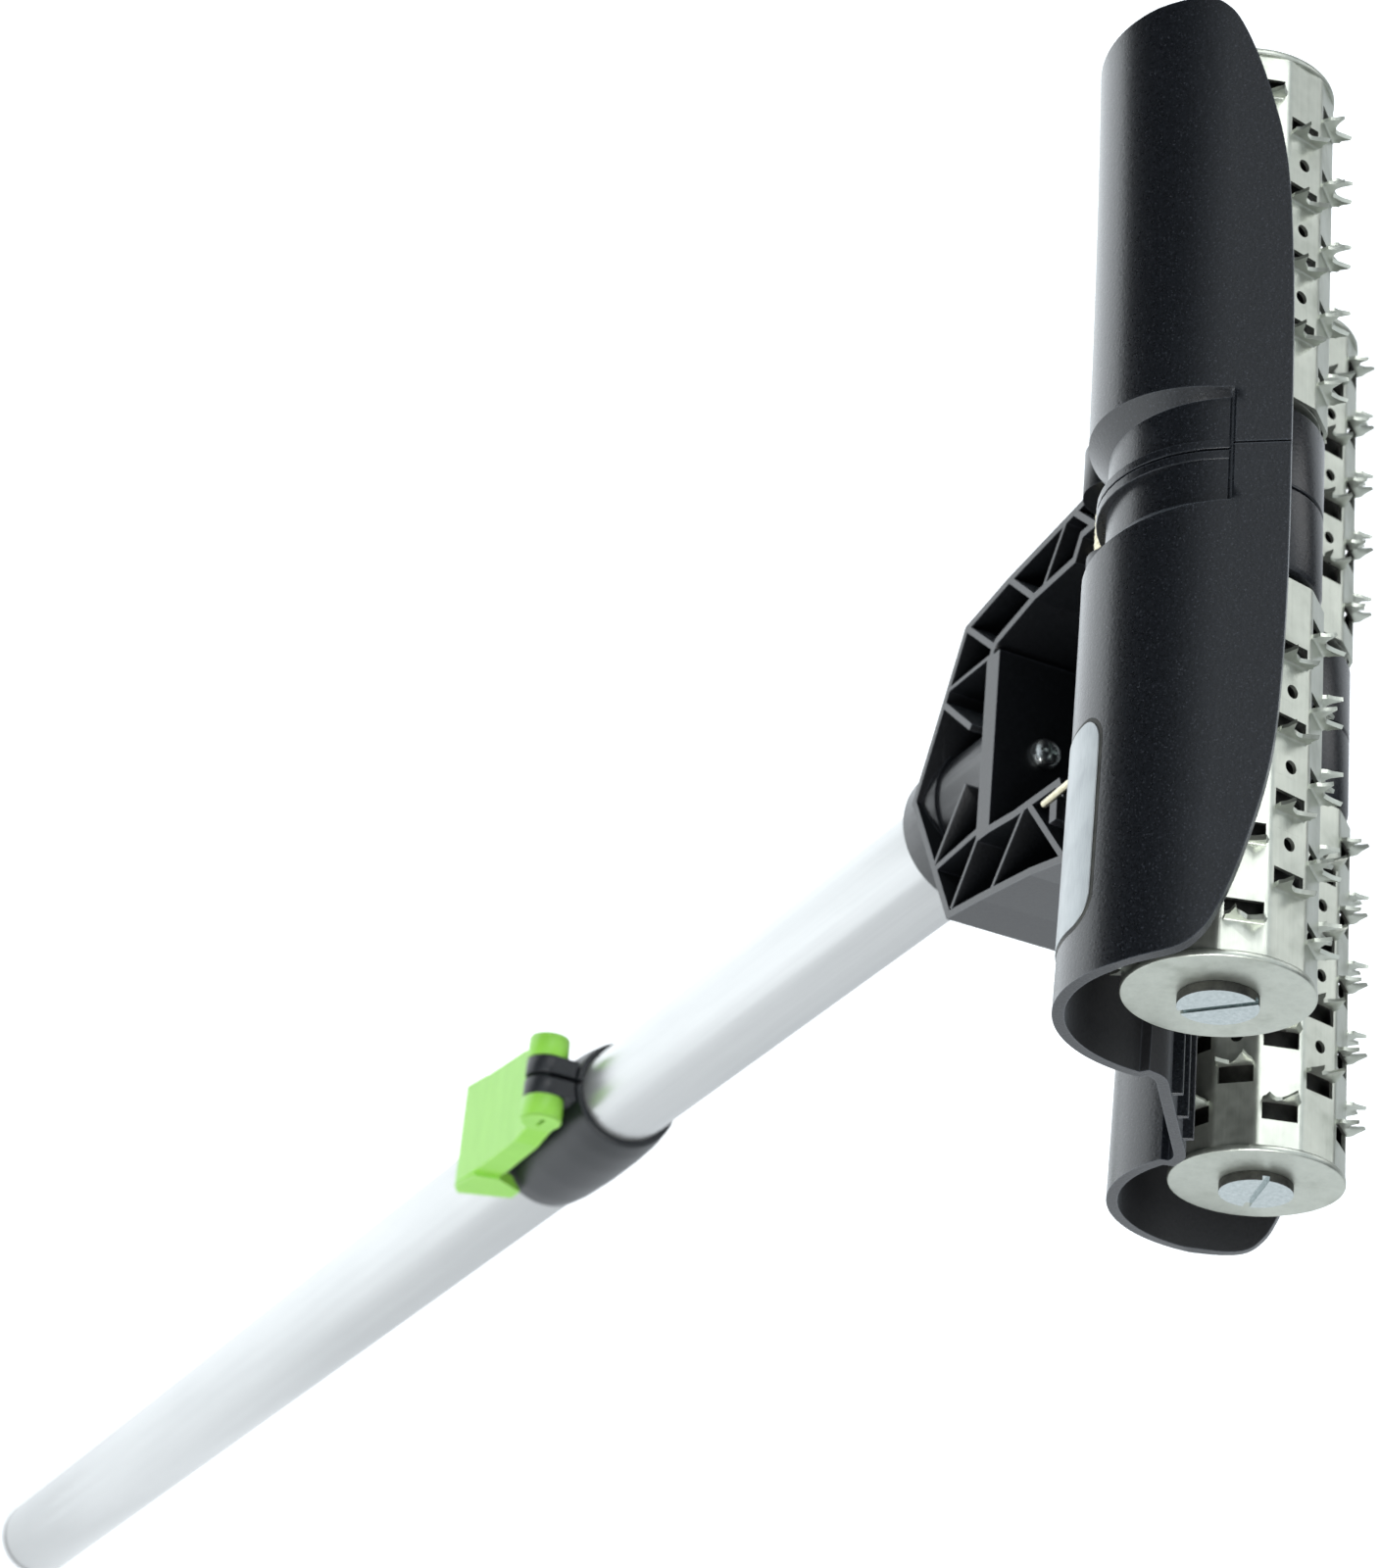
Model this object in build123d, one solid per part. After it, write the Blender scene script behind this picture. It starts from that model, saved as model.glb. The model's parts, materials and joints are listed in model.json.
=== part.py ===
"""Pole wallpaper perforator: a telescopic pole with a swivelling head that carries
two rows of spiked twelve-sided drums under a double-arched shroud.

Units are millimetres.  The pole lies along +Z with its butt end on Z = 0, and the
head is at its top.  +X runs along the rollers.  The head is drawn square in its own
frame (x along the rollers, y from the far roller to the near roller, z towards the
work, origin on the swivel pin) and is then tilted about the pin to its rest angle.
"""
import os
from math import cos, radians, sin, sqrt

from build123d import *

# ---- pole ------------------------------------------------------------------
OUTER_TUBE_R = 16.0
OUTER_TUBE_WALL = 1.5
INNER_TUBE_R = 14.0
INNER_TUBE_WALL = 1.3
OUTER_TUBE_BOTTOM = 4.0
OUTER_TUBE_TOP = 573.0
INNER_TUBE_BOTTOM = 250.0
COLLAR_SEAT_R = 15.7             # the top of the outer tube is sized down for the collar
RUN_GAP = 0.05                   # radial clearance of every running fit
BUTT_CHAMFER = 1.2
BUTT_PLUG_WALL = 2.2
BUTT_PLUG_TOP = 20.0             # how far up the butt cap's plug reaches
TUBE_PLUG_BORE_R = 4.0
TUBE_PLUG_DEPTH = 22.0           # tail plug inside the inner tube
TUBE_PLUG_FLANGE = 2.6
JOURNAL_R = 10.0                 # where the guide ring turns
JOURNAL_LENGTH = 12.4
GUIDE_FLANGE_R = 13.2            # holds the guide ring on its journal
GUIDE_FLANGE_T = 3.0
END_PLAY = 0.1
HEAD_PLUG_LENGTH = 34.0
HEAD_Z = 905.0                   # height of the head's centre line crossing

# ---- clamp -----------------------------------------------------------------
CLAMP_BOTTOM = 526.0
CLAMP_TOP = 583.0
CLAMP_AXIS_Y = 23.5
CLAMP_AXIS_Z = 577.0
LUG_R = 6.0
LUG_HALF = 6.0                   # half width over the two lugs
SLIT = 1.4
EYE_OUT = 12.5                   # half width over the lever's two eyes
EYE_R = 6.0
EYE_SEAT = 9.0                   # where the counterbores for the bolt head and the nut begin
COUNTERBORE_R = 4.5
CAP_R = 5.8
CLAMP_BOLT_R = 2.5
LEVER_HALF = 15.0                # half width of the lever's channel
LEVER_WALL = 2.4
LIP_HALF = 16.2                  # half width of the thumb lip
LUG_ROOT = 12.0                  # where the lug's web starts inside the collar
LUG_CLEAR = 0.6                  # the lug's spine stands off the tube by this much
SWING_GAP = 1.2                  # room for the lug between the lever's eyes
SIDE_GAP = 0.15
BOLT_HEAD_R = 4.2
NUT_R = 4.4                      # over the corners
BOLT_HEAD_END = 11.3
BOLT_END = 11.4
BOLT_SOCKET_R = 1.9
CAP_IN = 11.7                    # the eye caps reach in to here
CAP_OUT = 13.2
PRY_SLOT = (1.2, 5.0)

# ---- swivel ----------------------------------------------------------------
REST_TILT = 52.7                 # head tilt from square, in degrees
HINGE_Y = 20.7
HINGE_Z = HEAD_Z - 15.8
PIN_R = 3.5
PIN_HALF = 52.0
GROOVE_R = 2.9                   # clip grooves near the pin's ends
GROOVE_X = 50.0
GROOVE_W = 1.1
CLIP_R = 6.4
CLIP_SIDE_GAP = 0.05
CLIP_MOUTH = 3.2
KNUCKLE_HALF = 20.5
SPRING_IN = 21.4
SPRING_OUT = 34.0
SPRING_R = 5.0                   # mean coil radius
WIRE_R = 0.9
SPRING_TURNS = 6
LONG_LEG = 19.8
SHORT_LEG = 9.3

# ---- yoke ------------------------------------------------------------------
YOKE_NEAR_Y = 20.0               # near face of the yoke
YOKE_FAR_Y = -20.0               # far face of the socket block
ARM_FAR_Y = 1.7                  # far face of the two arms
YOKE_WALL = 1.9
RIB = 1.6
THIN_RIB = 1.0
SCREW_Y = 6.5                    # the yoke screw stands off the pole's centre line
SCREW_R = 2.0
SCREW_REACH = 25.0               # how far the yoke screw goes into the head plug
PAN_R = 3.9                      # head of the yoke screw
CROSS_L = 4.4                    # cross slot of the yoke screw
CROSS_W = 0.9
FLOOR_HALF = 3.0                 # half the thickness of the socket's floor
FLOOR_REACH = 24.5               # half width of the socket's floor
SOCKET_R = 17.4
SOCKET_MOUTH = 120.0             # distances below HEAD_Z from here on
SOCKET_FLOOR = 75.0
SOCKET_LIP = 1.0                 # the socket's mouth is this much thicker
SOCKET_LIP_TOP = 104.0
EYE_IN = 37.0
YOKE_HALF = 49.0                 # half width over the two arms
PIN_EYE_R = 9.0
ARM_WEB = 2.6                    # thickness of the web behind the open cells
BIG = 80.0                       # half size of cutting blocks that pass right through

# ---- head ------------------------------------------------------------------
AXLE_SPACING = 98.0
AXLE_UP = 30.0                   # axles above the swivel pin
AXLE_R = 5.0
DISC_R = 19.5
DISC_T = 1.5
DRUM_R = 19.4                    # over the corners
DRUM_WALL = 1.2
DRUM_SIDES = 12
DRUM_PHASE = 34.3                # angle of one corner, in degrees
DRUM_IN = 22.0
DRUM_OUT = 108.5
WINDOW_PITCH = 17.25
WINDOW_W = 8.2
WINDOW_L = 5.2
HOLE_R = 1.5                     # small round holes between the windows
TAB_T = 1.0
TAB_SET = 0.45                   # the tab stands this far in from the window's edge
TOOTH_TOP = 24.0
END_PLATE = 1.2                  # the drum's two end plates
SHELL_HALF = 115.4
RIM_Z = 44.3                     # straight part of the arches' free edge
EDGE_END_Z = 14.0                # where the free edge meets the shroud's end
SHELL_R = 31.0
SHELL_T = 2.5
NECK_R = 27.6
HUB_R = 18.8
HUB_HALF = 20.6
HUB_END_GAP = 0.6
NECK_Y = 50.0                    # the neck is turned about its own axis, just off the axle's
NECK_Z = 31.2
NECK_HALF = 11.0                 # half width of the neck's bottom
SHOULDER_HALF = 17.4             # half width over its sloping sides
SHOULDER_OVERRUN = 0.6           # the sloping sides run this far past the arch's surface
NECK_FRONT_Z = 32.0              # the neck ends here with a small step
BAND_HALF = 19.0                 # the wall under the neck
CROSS_WALLS = ((0.0, 3.0), (17.0, 20.0))
WALL_TOP = 34.0
VALLEY_OUT = 15.0                # outer face of the valley floor above the pin
VALLEY_IN = 18.5
VALLEY_RIBS = (-12.0, 0.0, 12.0)
VALLEY_RIB_W = 1.6
VALLEY_RIB_H = 4.0
BOSS_R = 3.6                     # bosses that take the bracket screws
BOSS_H = 10.0
DOWEL_R = 1.5
DOWEL_X = 10.0
DOWEL_REACH = 17.5
LABEL_X = (-103.0, -57.0)
LABEL_ANGLES = (47, 62, 80, 97)  # round the near axle, in degrees below the near side
LABEL_DEPTH = 0.7
LABEL_PROUD = 0.15               # the label lies this far below the arch's surface
SEAM = 0.3                       # gap left between the shroud's two halves
BUSH_R = 8.0
AXLE_END = 110.15                # axle half length, just past the end discs
AXLE_SCREW_R = 3.0
AXLE_SCREW_REACH = 16.0
AXLE_HOLE_DEPTH = 18.0
SCREW_HEAD_R = 8.2
SCREW_HEAD_T = 2.1
SCREW_SLOT_W = 1.6
SCREW_SLOT_Z = 1.0               # height of the slot's bottom on the head
SLOT_ANGLES = {"near_left": 75, "far_left": 20, "near_right": 10, "far_right": 60}
BUSH_LENGTH = 9.0
BUSH_NOSE_R = 7.0
NOSE_OVERLAP = 0.4

# ---- hinge bracket ---------------------------------------------------------
KNUCKLE_R = 7.5
WEB_HALF = 4.5
FLANGE_X = 26.0
FLANGE_Y = 15.0
FLANGE_T = 4.0
BRACKET_SCREWS = [(x, y) for x in (-12, 12) for y in (-9, 9)]
BRACKET_SCREW_R = 1.75
BRACKET_HOLE_R = 2.0
BRACKET_SCREW_HEAD_R = 3.5
BRACKET_SCREW_HEAD_T = 2.2
BRACKET_ROOM_R = 3.9             # room round each screw's head in the bracket
ROLLERS = {"near": 1, "far": -1}
SIDES = {"left": -1, "right": 1}

PARTS = {}


# ---- helpers ---------------------------------------------------------------
def rod(r, x0, x1, y=0.0, z=0.0):
    """A cylinder along X from x0 to x1."""
    plane = Plane((min(x0, x1), y, z), x_dir=(0, 1, 0), z_dir=(1, 0, 0))
    return extrude(plane * Circle(r), abs(x1 - x0))


def column(r, z0, z1, x=0.0, y=0.0):
    """A cylinder along Z from z0 to z1."""
    return extrude(Plane((x, y, z0)) * Circle(r), z1 - z0)


def block(x0, x1, y0, y1, z0, z1):
    """A box given by its two corners."""
    size = (x1 - x0, y1 - y0, z1 - z0)
    return Pos((x0 + x1) / 2, (y0 + y1) / 2, (z0 + z1) / 2) * Box(*size)


def slab_x(sketch, x0, x1):
    """A (y, z) sketch extruded along X from x0 to x1."""
    return extrude(Plane((min(x0, x1), 0, 0), x_dir=(0, 1, 0), z_dir=(1, 0, 0)) * sketch, abs(x1 - x0))


def slab_y(sketch, y0, y1):
    """An (x, z) sketch extruded along Y from y0 to y1."""
    return extrude(Plane((0, max(y0, y1), 0), x_dir=(1, 0, 0), z_dir=(0, -1, 0)) * sketch, abs(y1 - y0))


def polygon(points):
    """A flat face with straight sides."""
    return make_face(Polyline(*points, close=True))


def mirrored(points):
    """Points of the +x half followed by their mirror images, as one closed outline."""
    return points + [(-x, z) for x, z in reversed(points) if x > 0.01]


def turned(profile, centre_y=0.0, centre_z=0.0):
    """A solid of revolution about X through (y, z), from an (x, radius) profile."""
    face = Plane((0, centre_y, centre_z), x_dir=(1, 0, 0), z_dir=(0, -1, 0)) * polygon(profile)
    return revolve(face, Axis((0, centre_y, centre_z), (1, 0, 0)), 360)


def ring_z(profile):
    """A solid of revolution about Z, from an (radius, z) profile."""
    return revolve(Plane.XZ * polygon(profile), Axis.Z, 360)


def on_head(shape):
    """Carries a shape from the head's own frame to its rest place."""
    return Pos(0, HINGE_Y, HINGE_Z) * Rot(REST_TILT, 0, 0) * shape


def keep(name, *shapes):
    """Names a finished piece."""
    solids = [s for shape in shapes for s in shape.solids()]
    PARTS[name] = solids[0] if len(solids) == 1 else Compound(children=solids)


# ---- pole ------------------------------------------------------------------
def make_pole():
    outer_bore = OUTER_TUBE_R - OUTER_TUBE_WALL
    inner_bore = INNER_TUBE_R - INNER_TUBE_WALL
    tube = column(OUTER_TUBE_R, OUTER_TUBE_BOTTOM, CLAMP_BOTTOM)
    tube = tube + column(COLLAR_SEAT_R, OUTER_TUBE_BOTTOM, OUTER_TUBE_TOP)
    keep("outer_tube", tube - column(outer_bore, OUTER_TUBE_BOTTOM - 1, OUTER_TUBE_TOP + 1))
    plug_bore = outer_bore - BUTT_PLUG_WALL
    rim = [(0, 0), (OUTER_TUBE_R - BUTT_CHAMFER, 0), (OUTER_TUBE_R, BUTT_CHAMFER),
           (OUTER_TUBE_R, OUTER_TUBE_BOTTOM), (outer_bore, OUTER_TUBE_BOTTOM), (outer_bore, BUTT_PLUG_TOP),
           (plug_bore, BUTT_PLUG_TOP), (plug_bore, OUTER_TUBE_BOTTOM), (0, OUTER_TUBE_BOTTOM)]
    keep("butt_cap", ring_z(rim))

    floor_z = HEAD_Z - SOCKET_FLOOR
    tube_top = floor_z - FLOOR_HALF
    keep("inner_tube", column(INNER_TUBE_R, INNER_TUBE_BOTTOM, tube_top)
         - column(inner_bore, INNER_TUBE_BOTTOM - 1, tube_top + 1))

    # tail plug: a journal for the guide ring under the tube, held by a flange
    shoulder = INNER_TUBE_BOTTOM - TUBE_PLUG_FLANGE
    keeper = shoulder - JOURNAL_LENGTH
    bottom = keeper - GUIDE_FLANGE_T
    top = INNER_TUBE_BOTTOM + TUBE_PLUG_DEPTH
    shoulder_r = INNER_TUBE_R - 0.2
    plug = [(TUBE_PLUG_BORE_R, bottom), (GUIDE_FLANGE_R, bottom), (GUIDE_FLANGE_R, keeper),
            (JOURNAL_R, keeper), (JOURNAL_R, shoulder), (shoulder_r, shoulder), (shoulder_r, INNER_TUBE_BOTTOM),
            (inner_bore, INNER_TUBE_BOTTOM), (inner_bore, top), (TUBE_PLUG_BORE_R, top)]
    keep("tail_plug", ring_z(plug))
    ring = [(r, z) for r in (JOURNAL_R + RUN_GAP, outer_bore - RUN_GAP)
            for z in (keeper + END_PLAY, shoulder - END_PLAY)]
    keep("guide_ring", ring_z([ring[0], ring[2], ring[3], ring[1]]))

    # head plug: closes the top of the inner tube and takes the yoke screw
    plug_top = tube_top - 0.2
    plug_bottom = tube_top - HEAD_PLUG_LENGTH
    plug = [(0, plug_bottom), (inner_bore, plug_bottom), (inner_bore, plug_top), (0, plug_top)]
    screw_hole = column(SCREW_R, tube_top - SCREW_REACH - 1, tube_top, 0, SCREW_Y)
    keep("head_plug", ring_z(plug) - screw_hole)

    # pan-head cross-slot screw through the socket's floor, along the pole
    seat = floor_z + FLOOR_HALF
    head = [(0, seat), (PAN_R, seat), (PAN_R, seat + 1.0), (PAN_R - 0.6, seat + 2.2),
            (SCREW_R, seat + 2.9), (0, seat + 3.1)]
    recess = Box(CROSS_L, CROSS_W, 2.6) + Box(CROSS_W, CROSS_L, 2.6)
    shank = column(SCREW_R, tube_top - SCREW_REACH, seat)
    keep("yoke_screw", Pos(0, SCREW_Y, 0) * (ring_z(head) + shank - Pos(0, 0, seat + 2.5) * recess))


# ---- clamp -----------------------------------------------------------------
def make_clamp():
    bore = INNER_TUBE_R + RUN_GAP
    barrel = [(COLLAR_SEAT_R, CLAMP_BOTTOM), (16.7, CLAMP_BOTTOM), (17.4, 533), (17.8, 548), (17.6, 564),
              (17.0, 575), (15.9, CLAMP_TOP), (bore, CLAMP_TOP), (bore, OUTER_TUBE_TOP),
              (COLLAR_SEAT_R, OUTER_TUBE_TOP)]
    body = ring_z(barrel)
    lug = rod(LUG_R, -LUG_HALF, LUG_HALF, CLAMP_AXIS_Y, CLAMP_AXIS_Z)
    web = block(-LUG_HALF, LUG_HALF, LUG_ROOT, CLAMP_AXIS_Y, CLAMP_AXIS_Z - LUG_R, CLAMP_AXIS_Z + LUG_R)
    spine = block(-4, 4, LUG_ROOT, 19.5, 540, CLAMP_AXIS_Z)
    body = body + ((lug + web + spine) - column(OUTER_TUBE_R + LUG_CLEAR, 500, 600))
    slit = block(-SLIT / 2, SLIT / 2, 8, 40, 545, CLAMP_TOP + 5)
    bolt_hole = rod(CLAMP_BOLT_R + RUN_GAP, -20, 20, CLAMP_AXIS_Y, CLAMP_AXIS_Z)
    keep("clamp_collar", body - slit - bolt_hole)

    # lever: two eyes, a hollow channel that lies along the collar, and a thumb lip
    side = polygon([(17.7, CLAMP_AXIS_Z), (25.0, CLAMP_AXIS_Z), (25.4, 560), (26.0, 545), (27.2, 522),
                    (24.5, 518.5), (18.4, 524), (18.4, 535), (17.9, 541)])
    side = side + Pos(CLAMP_AXIS_Y, CLAMP_AXIS_Z) * Circle(EYE_R)
    plan = polygon(mirrored([(0, 600), (EYE_OUT, 600), (EYE_OUT, 570.5), (14.3, 562), (LEVER_HALF, 540),
                             (LEVER_HALF, 500), (0, 500)]))
    lip = polygon([(9.5, 524), (9.5, 530), (18.4, 535.5), (25.8, 534), (27.2, 522), (24.5, 517.5)])
    lever = (slab_x(side, -LEVER_HALF, LEVER_HALF) & slab_y(plan, 0, 40)) + slab_x(lip, -LIP_HALF, LIP_HALF)
    inner = LEVER_HALF - LEVER_WALL
    hollow = slab_x(polygon([(5, 522), (23.4, 525), (22.8, 569), (5, 569)]), -inner, inner)
    slot = LUG_HALF + SIDE_GAP
    lug_swing = rod(LUG_R + SWING_GAP, -slot, slot, CLAMP_AXIS_Y, CLAMP_AXIS_Z)
    lug_room = block(-slot, slot, 5, 40, CLAMP_AXIS_Z - 9, CLAMP_AXIS_Z + 10)
    lever = lever - hollow - lug_swing - lug_room - column(18.2, 500, 600)
    lever = lever - rod(CLAMP_BOLT_R + RUN_GAP, -20, 20, CLAMP_AXIS_Y, CLAMP_AXIS_Z)
    caps = []
    for sign in SIDES.values():
        lever = lever - rod(COUNTERBORE_R, sign * EYE_SEAT, sign * 20, CLAMP_AXIS_Y, CLAMP_AXIS_Z)
        cap = rod(COUNTERBORE_R, sign * CAP_IN, sign * EYE_OUT, CLAMP_AXIS_Y, CLAMP_AXIS_Z)
        cap = cap + rod(CAP_R, sign * EYE_OUT, sign * CAP_OUT, CLAMP_AXIS_Y, CLAMP_AXIS_Z)
        pry_slot = Pos(CLAMP_AXIS_Y, CLAMP_AXIS_Z) * Rectangle(*PRY_SLOT)
        caps.append(cap - slab_x(pry_slot, sign * 11, sign * 14))
    keep("clamp_lever", lever)
    keep("eye_caps", *caps)

    bolt = rod(CLAMP_BOLT_R, -BOLT_END, EYE_SEAT + 1.0, CLAMP_AXIS_Y, CLAMP_AXIS_Z)
    head = rod(BOLT_HEAD_R, EYE_SEAT + RUN_GAP, BOLT_HEAD_END, CLAMP_AXIS_Y, CLAMP_AXIS_Z)
    socket = rod(BOLT_SOCKET_R, EYE_SEAT + 1.0, 12.0, CLAMP_AXIS_Y, CLAMP_AXIS_Z)
    keep("clamp_bolt", bolt + head - socket)
    hexagon = Pos(CLAMP_AXIS_Y, CLAMP_AXIS_Z) * RegularPolygon(NUT_R, 6)
    nut = slab_x(hexagon, -BOLT_HEAD_END, -EYE_SEAT - RUN_GAP)
    keep("clamp_nut", nut - rod(CLAMP_BOLT_R, -20, 0, CLAMP_AXIS_Y, CLAMP_AXIS_Z))


# ---- yoke ------------------------------------------------------------------
def below_head(points):
    """Yoke outlines are given as (x, distance below HEAD_Z)."""
    return [(x, HEAD_Z - b) for x, b in points]


def strut(p, q, width):
    """A straight rib between two points of an outline."""
    (x0, z0), (x1, z1) = below_head([p, q])
    length = sqrt((x1 - x0) ** 2 + (z1 - z0) ** 2)
    nx, nz = -(z1 - z0) / length * width / 2, (x1 - x0) / length * width / 2
    return polygon([(x0 + nx, z0 + nz), (x1 + nx, z1 + nz), (x1 - nx, z1 - nz), (x0 - nx, z0 - nz)])


def make_yoke():
    outline = polygon(below_head([(0, 112.5), (39.5, 90.5), (43.3, 70), (47, 40), (YOKE_HALF, 24),
                                  (YOKE_HALF, 8), (-YOKE_HALF, 8), (-YOKE_HALF, 24), (-44, 51),
                                  (-41.3, 73.5), (-39.7, 90.2)]))
    opening = polygon(below_head([(26.5, 75), (30.6, 56), (31.5, 37.5), (36.9, 34.5), (36.9, 0),
                                  (-36.9, 0), (-36.9, 34.5), (-24, 39.5), (-23.7, 60), (-22.3, 75)]))
    opening = fillet(opening.vertices().sort_by(Axis.Y)[:2], 2.5)
    blank = slab_y(outline - opening, YOKE_FAR_Y, YOKE_NEAR_Y)

    # the far side is cut back so that the far roller's arch can swing in behind the arms
    clear_y = HINGE_Y - 51.9
    clear_z = HINGE_Z - 24.8
    clear_r = 33.0
    relief = rod(clear_r, -BIG, BIG, clear_y, clear_z)
    relief = relief + block(-BIG, BIG, -BIG, ARM_FAR_Y, clear_z, HEAD_Z + 40)
    relief = relief + block(-BIG, BIG, -BIG, clear_y, clear_z - clear_r, HEAD_Z + 40)
    trim = polygon([(ARM_FAR_Y - 1, HINGE_Z - 14), (HINGE_Y - 5, HINGE_Z), (HINGE_Y - 5, HINGE_Z + 30),
                    (-30, HINGE_Z + 30), (-30, HINGE_Z - 14)])
    relief = relief + slab_x(trim, -BIG, BIG)
    corner = block(-BIG, BIG, HINGE_Y, 60, HINGE_Z, HINGE_Z + 30)
    blank = blank - relief - corner

    # open cells between the outer wall and the opening's wall, with triangulating ribs
    cells = offset(outline, -YOKE_WALL, kind=Kind.INTERSECTION)
    cells = cells - offset(opening, YOKE_WALL, kind=Kind.INTERSECTION)
    ribs = [((47.2, 40.6), (36.5, 28), RIB), ((46.2, 42.3), (31.3, 52.7), THIN_RIB),
            ((43.3, 70.2), (30.4, 55.4), RIB), ((39.4, 90.5), (26.9, 75.5), RIB),
            ((24.8, 75.8), (24.9, 100), THIN_RIB), ((23, 100.7), (9, 84.4), RIB),
            ((-6.1, 85), (-22.6, 98.8), THIN_RIB), ((-21.6, 76.2), (-23.3, 97.3), RIB),
            ((-22.7, 76.5), (-37.7, 88.3), THIN_RIB), ((-24.5, 55), (-41.5, 70), THIN_RIB),
            ((-25.4, 53), (-46, 35.7), RIB)]
    for p, q, width in ribs:
        cells = cells - strut(p, q, width)
    cells = cells - Pos(0, HINGE_Z) * Rectangle(200, 26)
    web_top = ARM_FAR_Y + ARM_WEB
    near_cells = slab_y(cells, web_top, YOKE_NEAR_Y + 1)
    deep = Pos(0, HEAD_Z - 100) * Rectangle(200, 52)
    far_cells = slab_y(cells & deep, YOKE_FAR_Y - 1, ARM_FAR_Y)
    yoke = blank - near_cells - far_cells

    # round socket for the inner tube, standing a little out of the frame
    socket = column(SOCKET_R, HEAD_Z - SOCKET_MOUTH, HEAD_Z - SOCKET_FLOOR - 0.5)
    collar = column(SOCKET_R + SOCKET_LIP, HEAD_Z - SOCKET_MOUTH, HEAD_Z - SOCKET_LIP_TOP)
    yoke = yoke + socket + collar
    floor_z = HEAD_Z - SOCKET_FLOOR
    floor = block(-FLOOR_REACH, FLOOR_REACH, YOKE_FAR_Y, YOKE_NEAR_Y,
                  floor_z - FLOOR_HALF, floor_z + FLOOR_HALF)
    yoke = yoke + (floor - relief)
    yoke = yoke - column(INNER_TUBE_R, HEAD_Z - SOCKET_MOUTH - 1, floor_z - FLOOR_HALF)
    yoke = yoke - column(SCREW_R + 0.2, floor_z - 10, floor_z + 10, 0, SCREW_Y)

    # eyes round the swivel pin
    for side in (1, -1):
        yoke = yoke + rod(PIN_EYE_R, side * EYE_IN, side * YOKE_HALF, HINGE_Y, HINGE_Z)
    yoke = yoke - rod(PIN_R, -BIG, BIG, HINGE_Y, HINGE_Z)

    # stop that the left spring's leg bears on
    stop = block(-36.5, -30.4, YOKE_NEAR_Y - 6, YOKE_NEAR_Y + 2.2, HINGE_Z - 23.4, HINGE_Z - 20.4)
    yoke = yoke + stop
    keep("yoke", yoke)


def spring_shape(wound):
    """One torsion spring about local z: coils, a long leg along +y at the outer end and a
    short leg at the inner end.  wound is how far the head has turned the short leg, in degrees."""
    turns = SPRING_TURNS + wound / 360
    length = SPRING_OUT - SPRING_IN - 2 * WIRE_R
    coil = Rot(0, 0, -wound) * Helix(length / turns, length, SPRING_R)
    start, end = coil @ 0, coil @ 1
    short_leg = Line(start - SHORT_LEG * (coil % 0), start)
    long_leg = Line(end, end + LONG_LEG * (coil % 1))
    path = Wire([short_leg.edge(), coil.edge(), long_leg.edge()])
    return sweep(Plane(path @ 0, z_dir=path % 0) * Circle(WIRE_R), path)


def make_swivel():
    right_groove = turned([(GROOVE_X, GROOVE_R), (GROOVE_X + GROOVE_W, GROOVE_R),
                           (GROOVE_X + GROOVE_W, CLIP_R), (GROOVE_X, CLIP_R)], HINGE_Y, HINGE_Z)
    pin = rod(PIN_R, -PIN_HALF, PIN_HALF, HINGE_Y, HINGE_Z)
    keep("hinge_pin", pin - right_groove - mirror(right_groove, Plane.YZ))
    x0, x1 = GROOVE_X + CLIP_SIDE_GAP, GROOVE_X + GROOVE_W - CLIP_SIDE_GAP
    clip = turned([(x0, GROOVE_R), (x1, GROOVE_R), (x1, CLIP_R), (x0, CLIP_R)], HINGE_Y, HINGE_Z)
    half_mouth = CLIP_MOUTH / 2
    clip = clip - block(x0 - 1, x1 + 1, HINGE_Y - half_mouth, HINGE_Y + half_mouth, HINGE_Z - 8, HINGE_Z)
    keep("pin_clips", clip, mirror(clip, Plane.YZ))

    # the same spring turned end for end on each side, so that the two oppose each other
    for name, side in SIDES.items():
        seat = Plane((side * (SPRING_IN + WIRE_R), HINGE_Y, HINGE_Z), x_dir=(0, -side, 0), z_dir=(side, 0, 0))
        keep("spring_" + name, seat.location * spring_shape(-side * REST_TILT))


# ---- head ------------------------------------------------------------------
def arches(r, floor_z, half_width, rim=16.0):
    """The filled W-shaped section: two arches joined by the valley block."""
    half = AXLE_SPACING / 2
    shape = Pos(0, AXLE_UP + rim / 2) * Rectangle(2 * half_width, rim)
    for centre in (half, -half):
        shape = shape + Pos(centre, AXLE_UP) * Circle(r)
    reach = half - sqrt(r ** 2 - (AXLE_UP - floor_z) ** 2)
    depth = AXLE_UP - floor_z
    return shape + Pos(0, floor_z + depth / 2) * Rectangle(2 * reach + 0.5, depth)


def front_cut():
    """Everything in front of the curved free edge of the arches."""
    edge = Spline((0, RIM_Z), (40, 44.0), (62, 43.0), (75, 41.5), (86, 39.0), (97, 35.8), (106, 32.3),
                  (111, 29.2), (114.2, 24.5), (SHELL_HALF, EDGE_END_Z), tangents=((1, 0), (0, -1)))
    top = Polyline((SHELL_HALF, EDGE_END_Z), (SHELL_HALF + 5, EDGE_END_Z), (SHELL_HALF + 5, 80),
                   (0, 80), (0, RIM_Z))
    return slab_y(make_face(edge + top), -90, 90)


def on_both_sides(solid):
    """A solid at the near arch and its mirror image at the far one."""
    return [solid, mirror(solid, Plane.XZ)]


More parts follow.
